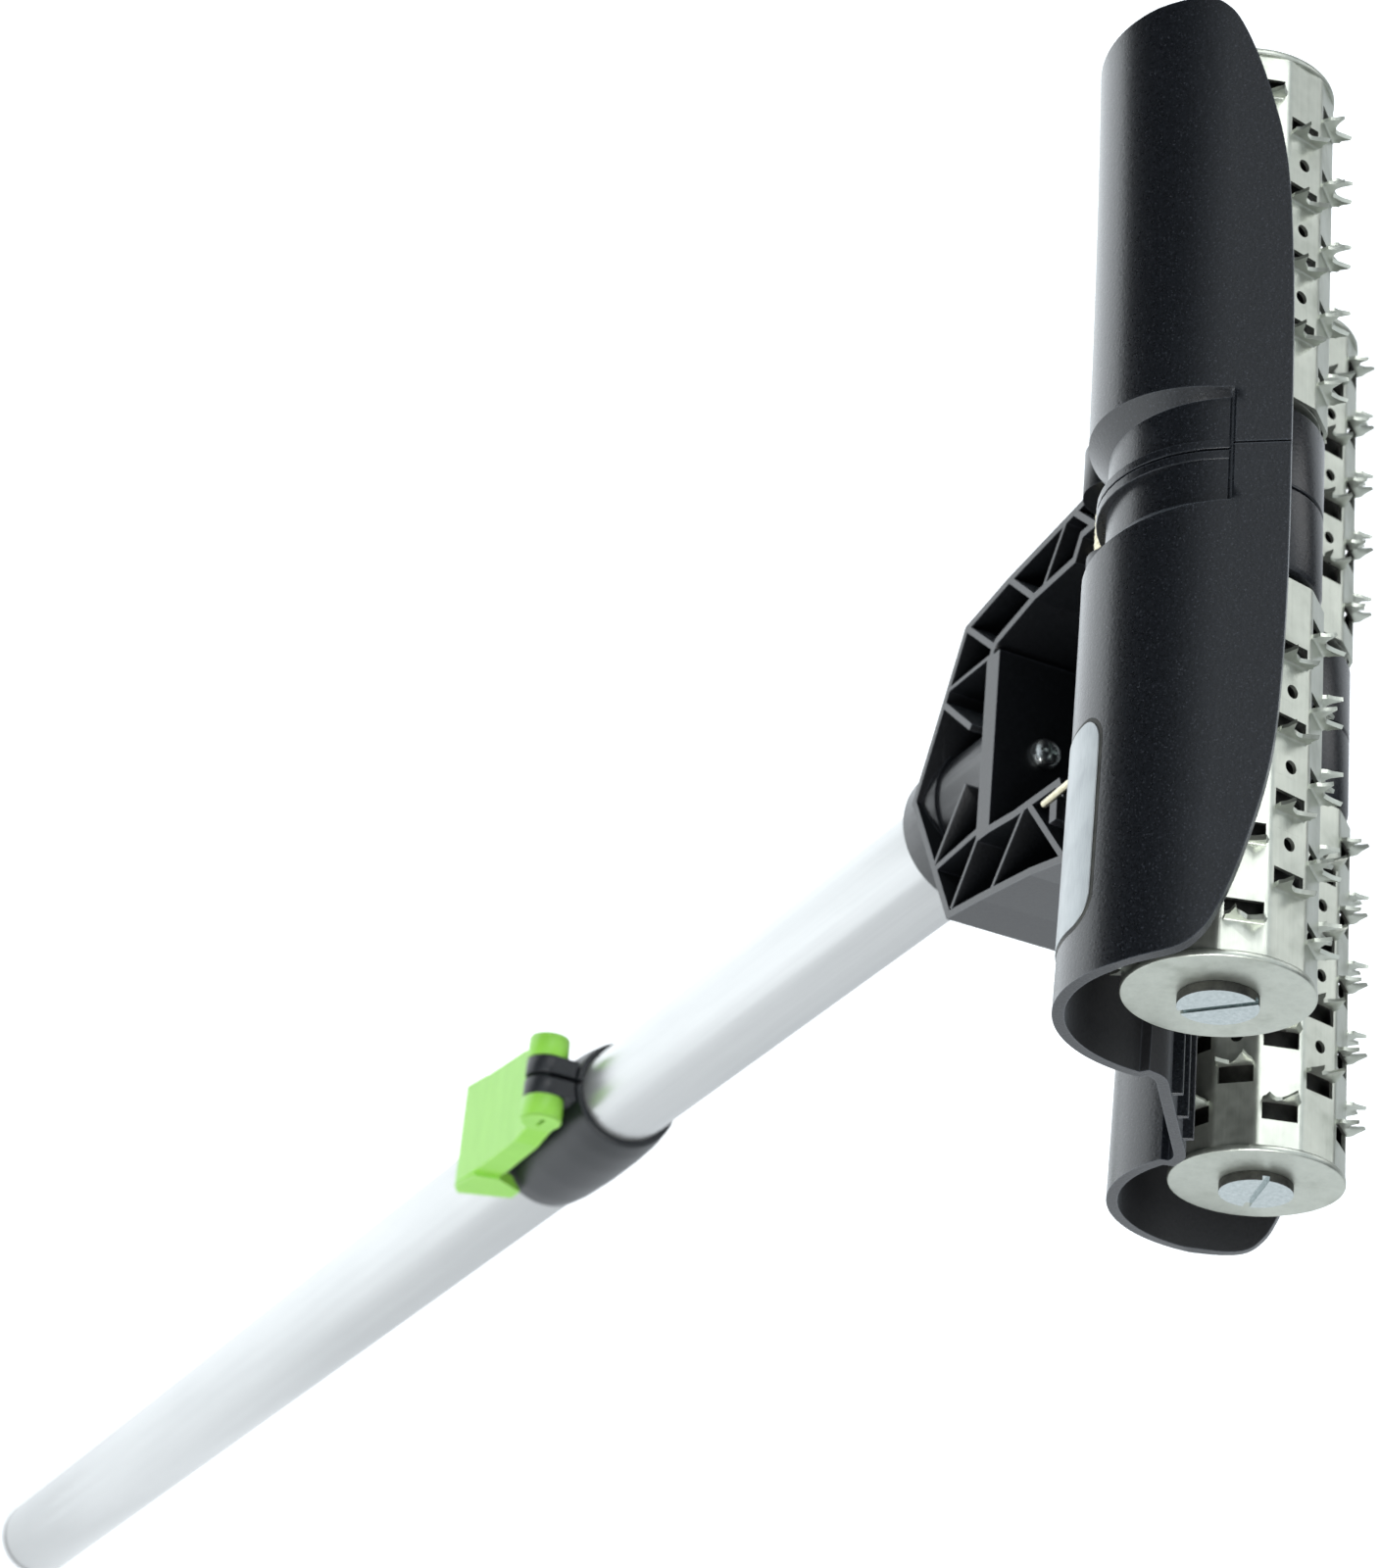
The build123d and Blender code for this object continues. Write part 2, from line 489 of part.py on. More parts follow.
def neck():
    """Cutter for the neck of the near arch, and the wall that is left under it."""
    top_r = SHELL_R + SHOULDER_OVERRUN
    groove = turned([(-1, NECK_R), (NECK_HALF, NECK_R), (SHOULDER_HALF, top_r),
                     (SHOULDER_HALF, 40), (-1, 40)], NECK_Y, NECK_Z)
    groove = groove & block(-1, 20, 22.5, 90, -10, NECK_FRONT_Z)
    skin = Pos(NECK_Y, NECK_Z) * (Circle(NECK_R) - Circle(NECK_R - SHELL_T))
    below = Pos(NECK_Y, NECK_FRONT_Z / 2) * Rectangle(100, NECK_FRONT_Z + 2)
    return groove, slab_x(skin & below, 0, BAND_HALF)


def shroud_half(side):
    """The +x half of the shroud, or for side -1 the same moulding turned end for end."""
    half = AXLE_SPACING / 2
    outer = arches(SHELL_R, VALLEY_OUT, half + SHELL_R)
    inner = arches(SHELL_R - SHELL_T, VALLEY_IN, half + SHELL_R - SHELL_T)
    body = slab_x(outer - inner, 0, SHELL_HALF)
    groove, band = neck()
    body = body - on_both_sides(groove) + on_both_sides(band)
    bridge = Pos(0, (VALLEY_OUT + VALLEY_IN) / 2) * Rectangle(56, VALLEY_IN - VALLEY_OUT)
    body = body + slab_x(bridge, 0, BAND_HALF)

    # hubs that hold the axles, tied to the shell by two cross walls
    walls = inner & (Pos(0, 0) * Rectangle(200, 2 * WALL_TOP))
    for x0, x1 in CROSS_WALLS:
        body = body + slab_x(walls, x0, x1)
    body = body + on_both_sides(rod(HUB_R, 0, HUB_HALF - HUB_END_GAP, half, AXLE_UP))
    bosses = [(x, y) for x, y in BRACKET_SCREWS if x > 0]
    for x, y in bosses:
        body = body + column(BOSS_R, VALLEY_OUT, VALLEY_IN + BOSS_H, x, y)
    for y in VALLEY_RIBS:
        body = body + block(18, SHELL_HALF - 1.5, y - VALLEY_RIB_W / 2, y + VALLEY_RIB_W / 2,
                            VALLEY_IN - 0.5, VALLEY_IN + VALLEY_RIB_H)

    body = body - front_cut() - on_both_sides(rod(AXLE_R, -1, HUB_HALF + 1, half, AXLE_UP))
    for x, y in bosses:
        body = body - column(BRACKET_SCREW_R, VALLEY_OUT - 1, VALLEY_IN + BOSS_H - 1.5, x, y)
    # cross hole for the dowel that holds one of the axles
    body = body - column(DOWEL_R, AXLE_UP - HUB_R - 12, AXLE_UP + HUB_R - 1.0, DOWEL_X, half)
    body = body - block(-1, SEAM / 2, -90, 90, -20, 60)
    return body if side > 0 else Rot(0, 0, 180) * body


def make_shroud():
    """Both halves, and the blank label let into the back of the near arch."""
    half = AXLE_SPACING / 2
    centre = Pos(half, AXLE_UP)
    recess = centre * (Circle(SHELL_R + 1) - Circle(SHELL_R - LABEL_DEPTH))
    plate = centre * (Circle(SHELL_R - LABEL_PROUD) - Circle(SHELL_R - LABEL_DEPTH))
    reach = 50
    corners = [(half + reach * cos(radians(a)), AXLE_UP - reach * sin(radians(a))) for a in LABEL_ANGLES]
    wedge = polygon([(half, AXLE_UP)] + corners)
    x0, x1 = LABEL_X
    keep("shroud_left", on_head(shroud_half(-1) - slab_x(recess & wedge, x0, x1)))
    keep("shroud_right", on_head(shroud_half(1)))
    keep("label_plate", on_head(slab_x(plate & wedge, x0 + END_PLAY, x1 - END_PLAY)))


def make_bracket():
    seat = VALLEY_OUT - FLANGE_T
    barrel = rod(KNUCKLE_R, -KNUCKLE_HALF, KNUCKLE_HALF)
    web = block(-KNUCKLE_HALF, KNUCKLE_HALF, -WEB_HALF, WEB_HALF, 0, seat + 1)
    flange = block(-FLANGE_X, FLANGE_X, -FLANGE_Y, FLANGE_Y, seat, VALLEY_OUT)
    bracket = barrel + web + flange - rod(PIN_R + RUN_GAP, -60, 60)
    head_z = seat - BRACKET_SCREW_HEAD_T
    screws = []
    for x, y in BRACKET_SCREWS:
        bracket = bracket - column(BRACKET_HOLE_R, 0, 20, x, y) - column(BRACKET_ROOM_R, 0, seat, x, y)
        head = column(BRACKET_SCREW_HEAD_R, head_z, seat, x, y)
        recess = Pos(x, y, head_z) * (Box(4, 0.8, 2.4) + Box(0.8, 4, 2.4))
        screws.append(on_head(head + column(BRACKET_SCREW_R, seat, VALLEY_IN + 8, x, y) - recess))
    keep("hinge_bracket", on_head(bracket))
    keep("bracket_screws", *screws)


def drum(facing):
    """Half a roller on the +x side, on the X axis: a folded twelve-sided sheet with
    windows, whose tabs are bent out and end in two points.  facing gives the edge of
    the window, -1 or +1 along x, that carries the tab."""
    phase = DRUM_PHASE
    outer = RegularPolygon(DRUM_R, DRUM_SIDES, rotation=phase)
    inner = RegularPolygon(DRUM_R - DRUM_WALL, DRUM_SIDES, rotation=phase)
    ends = inner - Circle(BUSH_R)
    shell = slab_x(outer - inner, DRUM_IN, DRUM_OUT)
    shell = shell + slab_x(ends, DRUM_IN, DRUM_IN + END_PLATE) + slab_x(ends, DRUM_OUT - END_PLATE, DRUM_OUT)
    apothem = DRUM_R * cos(radians(180 / DRUM_SIDES))
    middle = (DRUM_IN + DRUM_OUT) / 2
    root = apothem - DRUM_WALL
    crown = [(-4.0, root), (-4.0, 20.6), (-3.0, TOOTH_TOP), (-1.6, 21.4), (0, 20.4),
             (1.6, 21.4), (3.0, TOOTH_TOP), (4.0, 20.6), (4.0, root)]
    cuts = []
    tabs = []
    for k in range(DRUM_SIDES):
        turn = Rot(phase + 180 / DRUM_SIDES + k * 360 / DRUM_SIDES, 0, 0)
        count = 4 if k % 2 == 0 else 5
        for i in range(count):
            x = middle + (i - (count - 1) / 2) * WINDOW_PITCH
            window = block(x - WINDOW_L / 2, x + WINDOW_L / 2, apothem - 3, apothem + 3,
                           -WINDOW_W / 2, WINDOW_W / 2)
            cuts.append(turn * window)
            edge = x + facing * (WINDOW_L / 2 - TAB_SET)
            tab = slab_x(polygon([(r, s) for s, r in crown]), edge - TAB_T / 2, edge + TAB_T / 2)
            tabs.append(turn * tab)
        if count == 4:
            for i in range(3):
                x = middle + (i - 1) * WINDOW_PITCH
                facet = Plane((x, apothem - 3, 0), x_dir=(1, 0, 0), z_dir=(0, 1, 0))
                hole = extrude(facet * Circle(HOLE_R), 6)
                cuts.append(turn * hole)
    return (shell - cuts) + tabs


def roller_half(body, facing):
    """Drum, end disc, two bushes and end screw of half a roller, drawn on the +x side."""
    disc = rod(DISC_R, DRUM_OUT, DRUM_OUT + DISC_T) - rod(AXLE_R + 0.3, DRUM_OUT - 1, DRUM_OUT + 3)
    bore = rod(AXLE_R + RUN_GAP, 0, 120)
    nose = rod(BUSH_NOSE_R, HUB_HALF - NOSE_OVERLAP, DRUM_IN)
    inner_bush = rod(BUSH_R, DRUM_IN, DRUM_IN + BUSH_LENGTH) + nose
    outer_bush = rod(BUSH_R, DRUM_OUT - BUSH_LENGTH, DRUM_OUT)
    screw = rod(SCREW_HEAD_R, AXLE_END, AXLE_END + SCREW_HEAD_T)
    screw = screw + rod(AXLE_SCREW_R, AXLE_END - AXLE_SCREW_REACH, AXLE_END)
    slot = block(AXLE_END + SCREW_SLOT_Z, AXLE_END + 3, -10, 10, -SCREW_SLOT_W / 2, SCREW_SLOT_W / 2)
    return {"_drum": [drum(facing)], "_disc": [disc], "_bushes": [inner_bush - bore, outer_bush - bore],
            "_screw": [screw - Rot(SLOT_ANGLES[body], 0, 0) * slot]}


def make_rollers():
    half = AXLE_SPACING / 2
    screws = []
    dowels = []
    for roller, sign in ROLLERS.items():
        place = Pos(0, sign * half, AXLE_UP)
        axle = rod(AXLE_R, -AXLE_END, AXLE_END)
        for side in SIDES.values():
            axle = axle - rod(AXLE_SCREW_R, side * (AXLE_END - AXLE_HOLE_DEPTH), side * (AXLE_END + 1))
        axle = axle - column(DOWEL_R, -20, 20, DOWEL_X * sign, 0)
        keep(roller + "_axle", on_head(place * axle))
        dowel = column(DOWEL_R, -DOWEL_REACH, DOWEL_REACH - 0.5, DOWEL_X * sign, 0)
        dowels.append(on_head(place * dowel))
        for name, side in SIDES.items():
            body = roller + "_" + name
            for suffix, solids in roller_half(body, -sign * side).items():
                flipped = [s if side > 0 else mirror(s, Plane.YZ) for s in solids]
                placed = [on_head(place * s) for s in flipped]
                if suffix == "_screw":
                    screws += placed
                else:
                    keep(body + suffix, *placed)
    keep("axle_screws", *screws)
    keep("axle_dowels", *dowels)


def main():
    os.makedirs("parts", exist_ok=True)
    make_pole()
    make_clamp()
    make_yoke()
    make_swivel()
    make_shroud()
    make_bracket()
    make_rollers()
    for name, shape in PARTS.items():
        export_step(shape, f"parts/{name}.step")


main()
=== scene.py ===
"""Looks of the pole wallpaper perforator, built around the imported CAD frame.

Lengths inside the builders are millimetres.  MM turns them into the scene's metres when a mesh
is made.  Pieces of the head are built in the head's own frame (x along the rollers, y from the
far roller to the near one, z towards the work, origin on the swivel pin).
"""
import json
import math

import bmesh
import bpy
import numpy as np
from mathutils import Matrix, Vector


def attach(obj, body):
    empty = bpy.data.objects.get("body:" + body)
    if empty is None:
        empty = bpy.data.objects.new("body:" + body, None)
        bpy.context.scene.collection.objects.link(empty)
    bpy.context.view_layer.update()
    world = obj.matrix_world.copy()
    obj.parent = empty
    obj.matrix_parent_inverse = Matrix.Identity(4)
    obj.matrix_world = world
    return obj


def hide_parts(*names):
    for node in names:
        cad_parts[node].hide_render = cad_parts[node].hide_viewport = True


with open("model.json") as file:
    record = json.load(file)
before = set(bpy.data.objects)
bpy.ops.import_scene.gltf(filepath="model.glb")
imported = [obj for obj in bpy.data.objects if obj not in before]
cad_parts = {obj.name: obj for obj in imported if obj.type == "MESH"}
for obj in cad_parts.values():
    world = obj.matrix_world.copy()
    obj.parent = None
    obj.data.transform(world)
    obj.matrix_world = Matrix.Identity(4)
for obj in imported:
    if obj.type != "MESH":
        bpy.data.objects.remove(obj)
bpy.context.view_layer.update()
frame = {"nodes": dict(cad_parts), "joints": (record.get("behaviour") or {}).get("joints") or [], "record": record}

MM = 0.001
JOINTS = {j["name"]: j for j in frame["joints"]}
SLOTS = {p["node"]: p["material_slot"] for p in frame["record"]["subparts"]}
SLOTS["yoke_screw"] = "satin_zinc"      # duller than the other bright screws


def head_frame():
    """The head's own frame, from the swivel joint and the two roller axes."""
    near = Vector(JOINTS["near_left_spin"]["pos_m"])
    far = Vector(JOINTS["far_left_spin"]["pos_m"])
    x = Vector((1, 0, 0))
    y = (near - far).normalized()
    z = x.cross(y)
    turn = Matrix((x, y, z)).transposed().to_4x4()
    return Matrix.Translation(Vector(JOINTS["head_tilt"]["pos_m"])) @ turn


HEAD = head_frame()
TO_HEAD = HEAD.inverted()


def in_head(name):
    """A joint's position in the head's own frame, in millimetres."""
    return (TO_HEAD @ Vector(JOINTS[name]["pos_m"])) / MM


AXLE_Y = in_head("near_left_spin").y
AXLE_Z = in_head("near_left_spin").z


# ---- materials ---------------------------------------------------------------
def srgb(r, g, b):
    """A linear colour from 0-255 screen values."""
    def linear(v):
        v /= 255
        return v / 12.92 if v <= 0.04045 else ((v + 0.055) / 1.055) ** 2.4
    return (linear(r), linear(g), linear(b), 1)


class Nodes:
    """A material's node tree, with short calls for the nodes used here."""

    def __init__(self, name):
        self.material = bpy.data.materials.new(name)
        self.material.use_nodes = True
        self.tree = self.material.node_tree
        self.shader = self.tree.nodes["Principled BSDF"]
        self.place = self.add("ShaderNodeTexCoord").outputs["Object"]

    def add(self, kind, **inputs):
        """A new node with its inputs set to values or linked to sockets."""
        node = self.tree.nodes.new(kind)
        for key, value in inputs.items():
            socket = node.inputs[key.replace("_", " ")]
            if isinstance(value, bpy.types.NodeSocket):
                self.tree.links.new(value, socket)
            else:
                socket.default_value = value
        return node

    def scaled(self, x, y, z):
        """Object coordinates multiplied per axis, for grain that runs one way."""
        return self.add("ShaderNodeMapping", Vector=self.place, Scale=(x, y, z)).outputs["Vector"]

    def noise(self, scale, detail=2.0, rough=0.5, vector=None):
        """Cloudy noise, 0 to 1; scale is cycles per metre."""
        node = self.add("ShaderNodeTexNoise", Vector=vector or self.place, Scale=scale,
                        Detail=detail, Roughness=rough)
        return node.outputs["Fac"]

    def cells(self, scale):
        """Distance to the nearest of many scattered points, for grain and spangle."""
        node = self.add("ShaderNodeTexVoronoi", Vector=self.place, Scale=scale)
        return node.outputs["Distance"]

    def span(self, value, low, high, start=0.0, end=1.0):
        """Value mapped from start..end to low..high."""
        node = self.add("ShaderNodeMapRange", Value=value)
        for key, number in (("From Min", start), ("From Max", end), ("To Min", low), ("To Max", high)):
            node.inputs[key].default_value = number
        return node.outputs["Result"]

    def blend(self, factor, one, two):
        """Colour one at factor 0, colour two at factor 1."""
        node = self.tree.nodes.new("ShaderNodeMix")
        node.data_type = "RGBA"
        for socket, value in ((node.inputs[0], factor), (node.inputs[6], one), (node.inputs[7], two)):
            if isinstance(value, bpy.types.NodeSocket):
                self.tree.links.new(value, socket)
            else:
                socket.default_value = value
        return node.outputs[2]

    def sum(self, one, two, share=0.5):
        """One times share, plus two."""
        node = self.add("ShaderNodeMath")
        node.operation = "MULTIPLY_ADD"
        self.tree.links.new(one, node.inputs[0])
        node.inputs[1].default_value = share
        self.tree.links.new(two, node.inputs[2])
        return node.outputs[0]

    def edges(self, width=0.0006):
        """How far the surface turns within a small radius: 0 on flats, up to 1 on edges."""
        bevel = self.add("ShaderNodeBevel", Radius=width)
        bevel.samples = 4
        normal = self.add("ShaderNodeNewGeometry").outputs["Normal"]
        dot = self.tree.nodes.new("ShaderNodeVectorMath")
        dot.operation = "DOT_PRODUCT"
        self.tree.links.new(bevel.outputs["Normal"], dot.inputs[0])
        self.tree.links.new(normal, dot.inputs[1])
        return self.span(dot.outputs["Value"], 1.0, 0.0, 0.75, 1.0)

    def bump(self, height, distance):
        """Relief on the shader; distance is its depth in metres."""
        node = self.add("ShaderNodeBump", Height=height, Distance=distance, Strength=1.0)
        self.tree.links.new(node.outputs["Normal"], self.shader.inputs["Normal"])

    def set(self, **inputs):
        """Sets or links the shader's inputs, and returns the finished material."""
        for key, value in inputs.items():
            socket = self.shader.inputs[key.replace("_", " ")]
            if isinstance(value, bpy.types.NodeSocket):
                self.tree.links.new(value, socket)
            else:
                socket.default_value = value
        return self.material


def grained_plastic(name, dark, light, rough, grain, relief, painted_glint_amount=0.0):
    """Moulded plastic with a spark-eroded grain: fine pits, slight tone drift, paler worn edges, and a painted
    sparkle of the grain where an amount of it is given.
    """
    n = Nodes(name)
    fine = n.noise(grain, 3.0, 0.6)
    broad = n.noise(35.0, 2.0)
    tone = n.blend(n.span(fine, 0.0, 1.0, 0.35, 0.68), dark, light)
    tone = n.blend(n.span(broad, 0.0, 0.25), tone, light)
    # painted sparkle: pale dots in the base colour that stand in for the grain catching the light
    if painted_glint_amount:
        painted_glint_mask = n.span(n.noise(grain * 1.7, 1.0), 0.0, painted_glint_amount, 0.62, 0.75)
        tone = n.blend(painted_glint_mask, tone, srgb(150, 156, 168))
    worn = n.edges()
    tone = n.blend(n.sum(worn, n.span(broad, -0.1, 0.05), 0.35), tone, srgb(96, 102, 110))
    n.bump(n.sum(n.cells(grain * 0.8), fine, 0.6), relief)
    return n.set(Base_Color=tone, Roughness=n.span(fine, rough - 0.06, rough + 0.08), IOR=1.55,
                 Sheen_Weight=0.12, Sheen_Roughness=0.25, Sheen_Tint=srgb(216, 226, 236))


def drawn_aluminium(name):
    """Satin anodised tube: fine draw lines along the pole and faint rubbed patches."""
    n = Nodes(name)
    lines = n.noise(1.0, 4.0, 0.6, n.scaled(1800, 1800, 14))
    rubs = n.noise(1.0, 3.0, 0.6, n.scaled(60, 60, 9))
    tone = n.blend(lines, srgb(186, 187, 187), srgb(204, 205, 204))
    tone = n.blend(n.span(rubs, 0.0, 0.18, 0.45, 0.7), tone, srgb(172, 175, 176))
    n.bump(lines, 0.00003)
    return n.set(Base_Color=tone, Metallic=0.7, Roughness=n.span(rubs, 0.28, 0.34, 0.3, 0.7))


def shade_sheet(name):
    """Painted shade for the drums' hollow insides and other dark gaps: a dark zinc tone with stains."""
    n = Nodes(name)
    stain = n.noise(140, 4.0, 0.65)
    tone = n.blend(n.span(stain, 0.0, 1.0, 0.35, 0.7), srgb(44, 44, 42), srgb(84, 84, 78))
    n.bump(stain, 0.00005)
    return n.set(Base_Color=tone, Metallic=0.6, Roughness=n.span(stain, 0.5, 0.7))


def galvanised_sheet(name):
    """Zinc-coated sheet: rolling lines, a faint spangle and small handling marks."""
    n = Nodes(name)
    rolling = n.noise(1.0, 4.0, 0.65, n.scaled(40, 1400, 1400))
    spangle = n.cells(420)
    patch = n.noise(90, 3.0, 0.6)
    tone = n.blend(rolling, srgb(172, 177, 167), srgb(196, 200, 190))
    tone = n.blend(n.span(spangle, 0.0, 0.3, 0.2, 0.8), tone, srgb(208, 212, 202))
    tone = n.blend(n.span(patch, 0.0, 0.5, 0.55, 0.75), tone, srgb(150, 155, 143))
    n.bump(n.sum(spangle, rolling, 0.25), 0.00004)
    rough = n.sum(spangle, n.span(patch, 0.30, 0.42, 0.35, 0.7), 0.06)
    return n.set(Base_Color=tone, Metallic=0.9, Roughness=rough)


def bright_metal(name, dark, light, rough, marks=900):
    """Plated steel: turned rings too fine to count and small scratches."""
    n = Nodes(name)
    fine = n.noise(marks, 4.0, 0.7)
    scratch = n.noise(1.0, 5.0, 0.7, n.scaled(2600, 160, 900))
    tone = n.blend(n.span(fine, 0.0, 1.0, 0.3, 0.7), dark, light)
    n.bump(n.sum(scratch, fine, 0.5), 0.00002)
    return n.set(Base_Color=tone, Metallic=1.0, Roughness=n.span(fine, rough, rough + 0.12))


def moulded_green(name):
    """Apple-green moulded lever: satin skin, faint flow marks, paler rubbed edges."""
    n = Nodes(name)
    flow = n.noise(1.0, 3.0, 0.6, n.scaled(60, 60, 260))
    fine = n.noise(1700, 2.0)
    tone = n.blend(flow, srgb(126, 192, 58), srgb(150, 212, 82))
    tone = n.blend(n.sum(n.edges(0.0008), n.span(fine, -0.1, 0.05), 0.5), tone, srgb(188, 232, 140))
    n.bump(fine, 0.00005)
    return n.set(Base_Color=tone, Roughness=n.span(fine, 0.30, 0.42), IOR=1.5, Subsurface_Weight=0.06,
                 Subsurface_Radius=(0.002, 0.003, 0.001), Subsurface_Scale=1.0)


def nylon(name):
    """Natural nylon: waxy, slightly see-through, with turning marks."""
    n = Nodes(name)
    rings = n.noise(1.0, 3.0, 0.6, n.scaled(900, 120, 120))
    tone = n.blend(rings, srgb(206, 202, 188), srgb(228, 225, 214))
    n.bump(rings, 0.00004)
    return n.set(Base_Color=tone, Roughness=n.span(rings, 0.38, 0.52), Subsurface_Weight=0.15,
                 Subsurface_Radius=(0.003, 0.003, 0.002), Subsurface_Scale=1.0)


def label_foil(name):
    """Blank silver-grey rating label: satin foil with fine print grain."""
    n = Nodes(name)
    weave = n.noise(1.0, 3.0, 0.6, n.scaled(300, 2600, 2600))
    patch = n.noise(120, 2.0)
    tone = n.blend(weave, srgb(136, 141, 143), srgb(166, 171, 172))
    tone = n.blend(n.span(patch, 0.0, 0.4, 0.45, 0.75), tone, srgb(118, 124, 127))
    n.bump(weave, 0.00003)
    return n.set(Base_Color=tone, Metallic=0.7, Roughness=n.span(patch, 0.30, 0.42))


def make_materials():
    """One material for each material slot in the record."""
    return {
        "shroud_plastic": grained_plastic("anthracite_grain", srgb(7, 9, 12), srgb(16, 19, 24),
                                          0.28, 1500, 0.00003, 0.10),
        "yoke_plastic": grained_plastic("yoke_satin", srgb(8, 9, 11), srgb(16, 18, 21),
                                        0.34, 1900, 0.00003, 0.05),
        "black_plastic": grained_plastic("collar_grain", srgb(9, 12, 15), srgb(19, 23, 27),
                                         0.40, 1700, 0.00004, 0.08),
        "lever_green": moulded_green("lever_apple"),
        "tube_aluminium": drawn_aluminium("satin_tube"),
        "drum_steel": galvanised_sheet("galvanised"),
        "bright_steel": bright_metal("bright_zinc", srgb(172, 182, 182), srgb(204, 212, 212), 0.12),
        "satin_zinc": bright_metal("satin_zinc", srgb(206, 212, 210), srgb(228, 232, 230), 0.20),
        "spring_steel": bright_metal("oiled_steel", srgb(118, 118, 120), srgb(160, 160, 162), 0.28),
        "yellow_zinc": bright_metal("yellow_zinc", srgb(186, 178, 148), srgb(214, 208, 184), 0.20),
        "nylon": nylon("natural_nylon"),
        "label_grey": label_foil("label_foil"),
    }


MATERIALS = make_materials()
# finishes of sides that no slot names: painted shade for hollows and gaps, and the shroud's matte inside
PAINTED_SHADE = shade_sheet("painted_shade_finish")
SHROUD_INSIDE = grained_plastic("shroud_inside", srgb(6, 7, 9), srgb(14, 15, 18), 0.62, 1100, 0.00006)


# ---- meshes --------------------------------------------------------------------
def piece(name, points, faces, slot, body, nodes=(), place=None, angle=35):
    """Makes a mesh from millimetre points, finishes it and puts it on its body."""
    mesh = bpy.data.meshes.new(name)
    mesh.from_pydata([tuple(p) for p in points], [], faces)
    mesh.transform((place or Matrix.Identity(4)) @ Matrix.Scale(MM, 4))
    shape = bmesh.new()
    shape.from_mesh(mesh)
    bmesh.ops.remove_doubles(shape, verts=shape.verts, dist=0.001 * MM)
    bmesh.ops.dissolve_degenerate(shape, dist=0.001 * MM, edges=shape.edges)
    shape.to_mesh(mesh)
    shape.free()
    mesh.shade_smooth()
    mesh.set_sharp_from_angle(angle=math.radians(angle))
    made = bpy.data.objects.new(name, mesh)
    bpy.context.scene.collection.objects.link(made)
    mesh.materials.append(MATERIALS[slot])
    if body:
        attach(made, body)
    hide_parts(*nodes)
    return made


def outward(mesh):
    """Turns every face of a closed mesh to look outwards."""
    shape = bmesh.new()
    shape.from_mesh(mesh)
    bmesh.ops.recalc_face_normals(shape, faces=shape.faces)
    shape.to_mesh(mesh)
    shape.free()


def thicken(made, thickness):
    """Gives a sheet its thickness, on the side away from its normals."""
    solid = made.modifiers.new("thickness", "SOLIDIFY")
    solid.thickness = thickness * MM
    solid.offset = -1
    solid.use_even_offset = True


def round_edges(made, width, segments=2, angle=35):
    """Bevels the edges that turn by more than the angle; width is in millimetres."""
    bevel = made.modifiers.new("bevel", "BEVEL")
    bevel.width = width * MM
    bevel.segments = segments
    bevel.limit_method = "ANGLE"
    bevel.angle_limit = math.radians(angle)
    bevel.use_clamp_overlap = True
    bevel.harden_normals = True


def quads(rows, columns, first=0, closed=False):
    """Faces of a grid of points stored row after row; closed joins the last row to the first."""
    faces = []
    for i in range(rows if closed else rows - 1):
        following = (i + 1) % rows
        for j in range(columns - 1):
            a, b = first + i * columns + j, first + following * columns + j
            faces.append((a, a + 1, b + 1, b))
    return faces


class Solids:
    """Several closed shapes gathered into one mesh."""

    def __init__(self):
        self.points = []
        self.faces = []

    def add(self, points, faces):
        start = len(self.points)
        self.points += [tuple(p) for p in points]
        self.faces += [tuple(start + i for i in face) for face in faces]

    def lathe(self, profile, y, z, steps=64):
        """A closed ring round the x axis through (y, z); profile is a closed loop of (x, radius)."""
        points = []
        for i in range(steps):
            turn = 2 * math.pi * i / steps
            points += [(x, y + r * math.cos(turn), z + r * math.sin(turn))
                       for x, r in profile + profile[:1]]
        self.add(points, quads(steps, len(profile) + 1, closed=True))

    def prism_x(self, outline, x0, x1):
        """A (y, z) outline extruded along x."""
        n = len(outline)
        points = [(x0, y, z) for y, z in outline] + [(x1, y, z) for y, z in outline]
        sides = [(i, (i + 1) % n, n + (i + 1) % n, n + i) for i in range(n)]
        self.add(points, [tuple(range(n - 1, -1, -1)), tuple(range(n, 2 * n))] + sides)

    def mirrored(self):
        """The same shapes on the other side of x = 0."""
        other = Solids()
        other.points = [(-x, y, z) for x, y, z in self.points]
        other.faces = [tuple(reversed(face)) for face in self.faces]
        return other


def smooth_curve(points, per_span):
    """A curve through the points (Catmull-Rom), as a list of points."""
    p = [np.array(q, float) for q in points]
    p = [2 * p[0] - p[1]] + p + [2 * p[-1] - p[-2]]
    curve = []
    for i in range(1, len(p) - 2):
        for t in np.arange(per_span) / per_span:
            a = 2 * p[i] + (p[i + 1] - p[i - 1]) * t
            b = (2 * p[i - 1] - 5 * p[i] + 4 * p[i + 1] - p[i + 2]) * t ** 2
            c = (3 * p[i] - p[i - 1] - 3 * p[i + 1] + p[i + 2]) * t ** 3
            curve.append((a + b + c) / 2)
    return curve + [p[-2]]


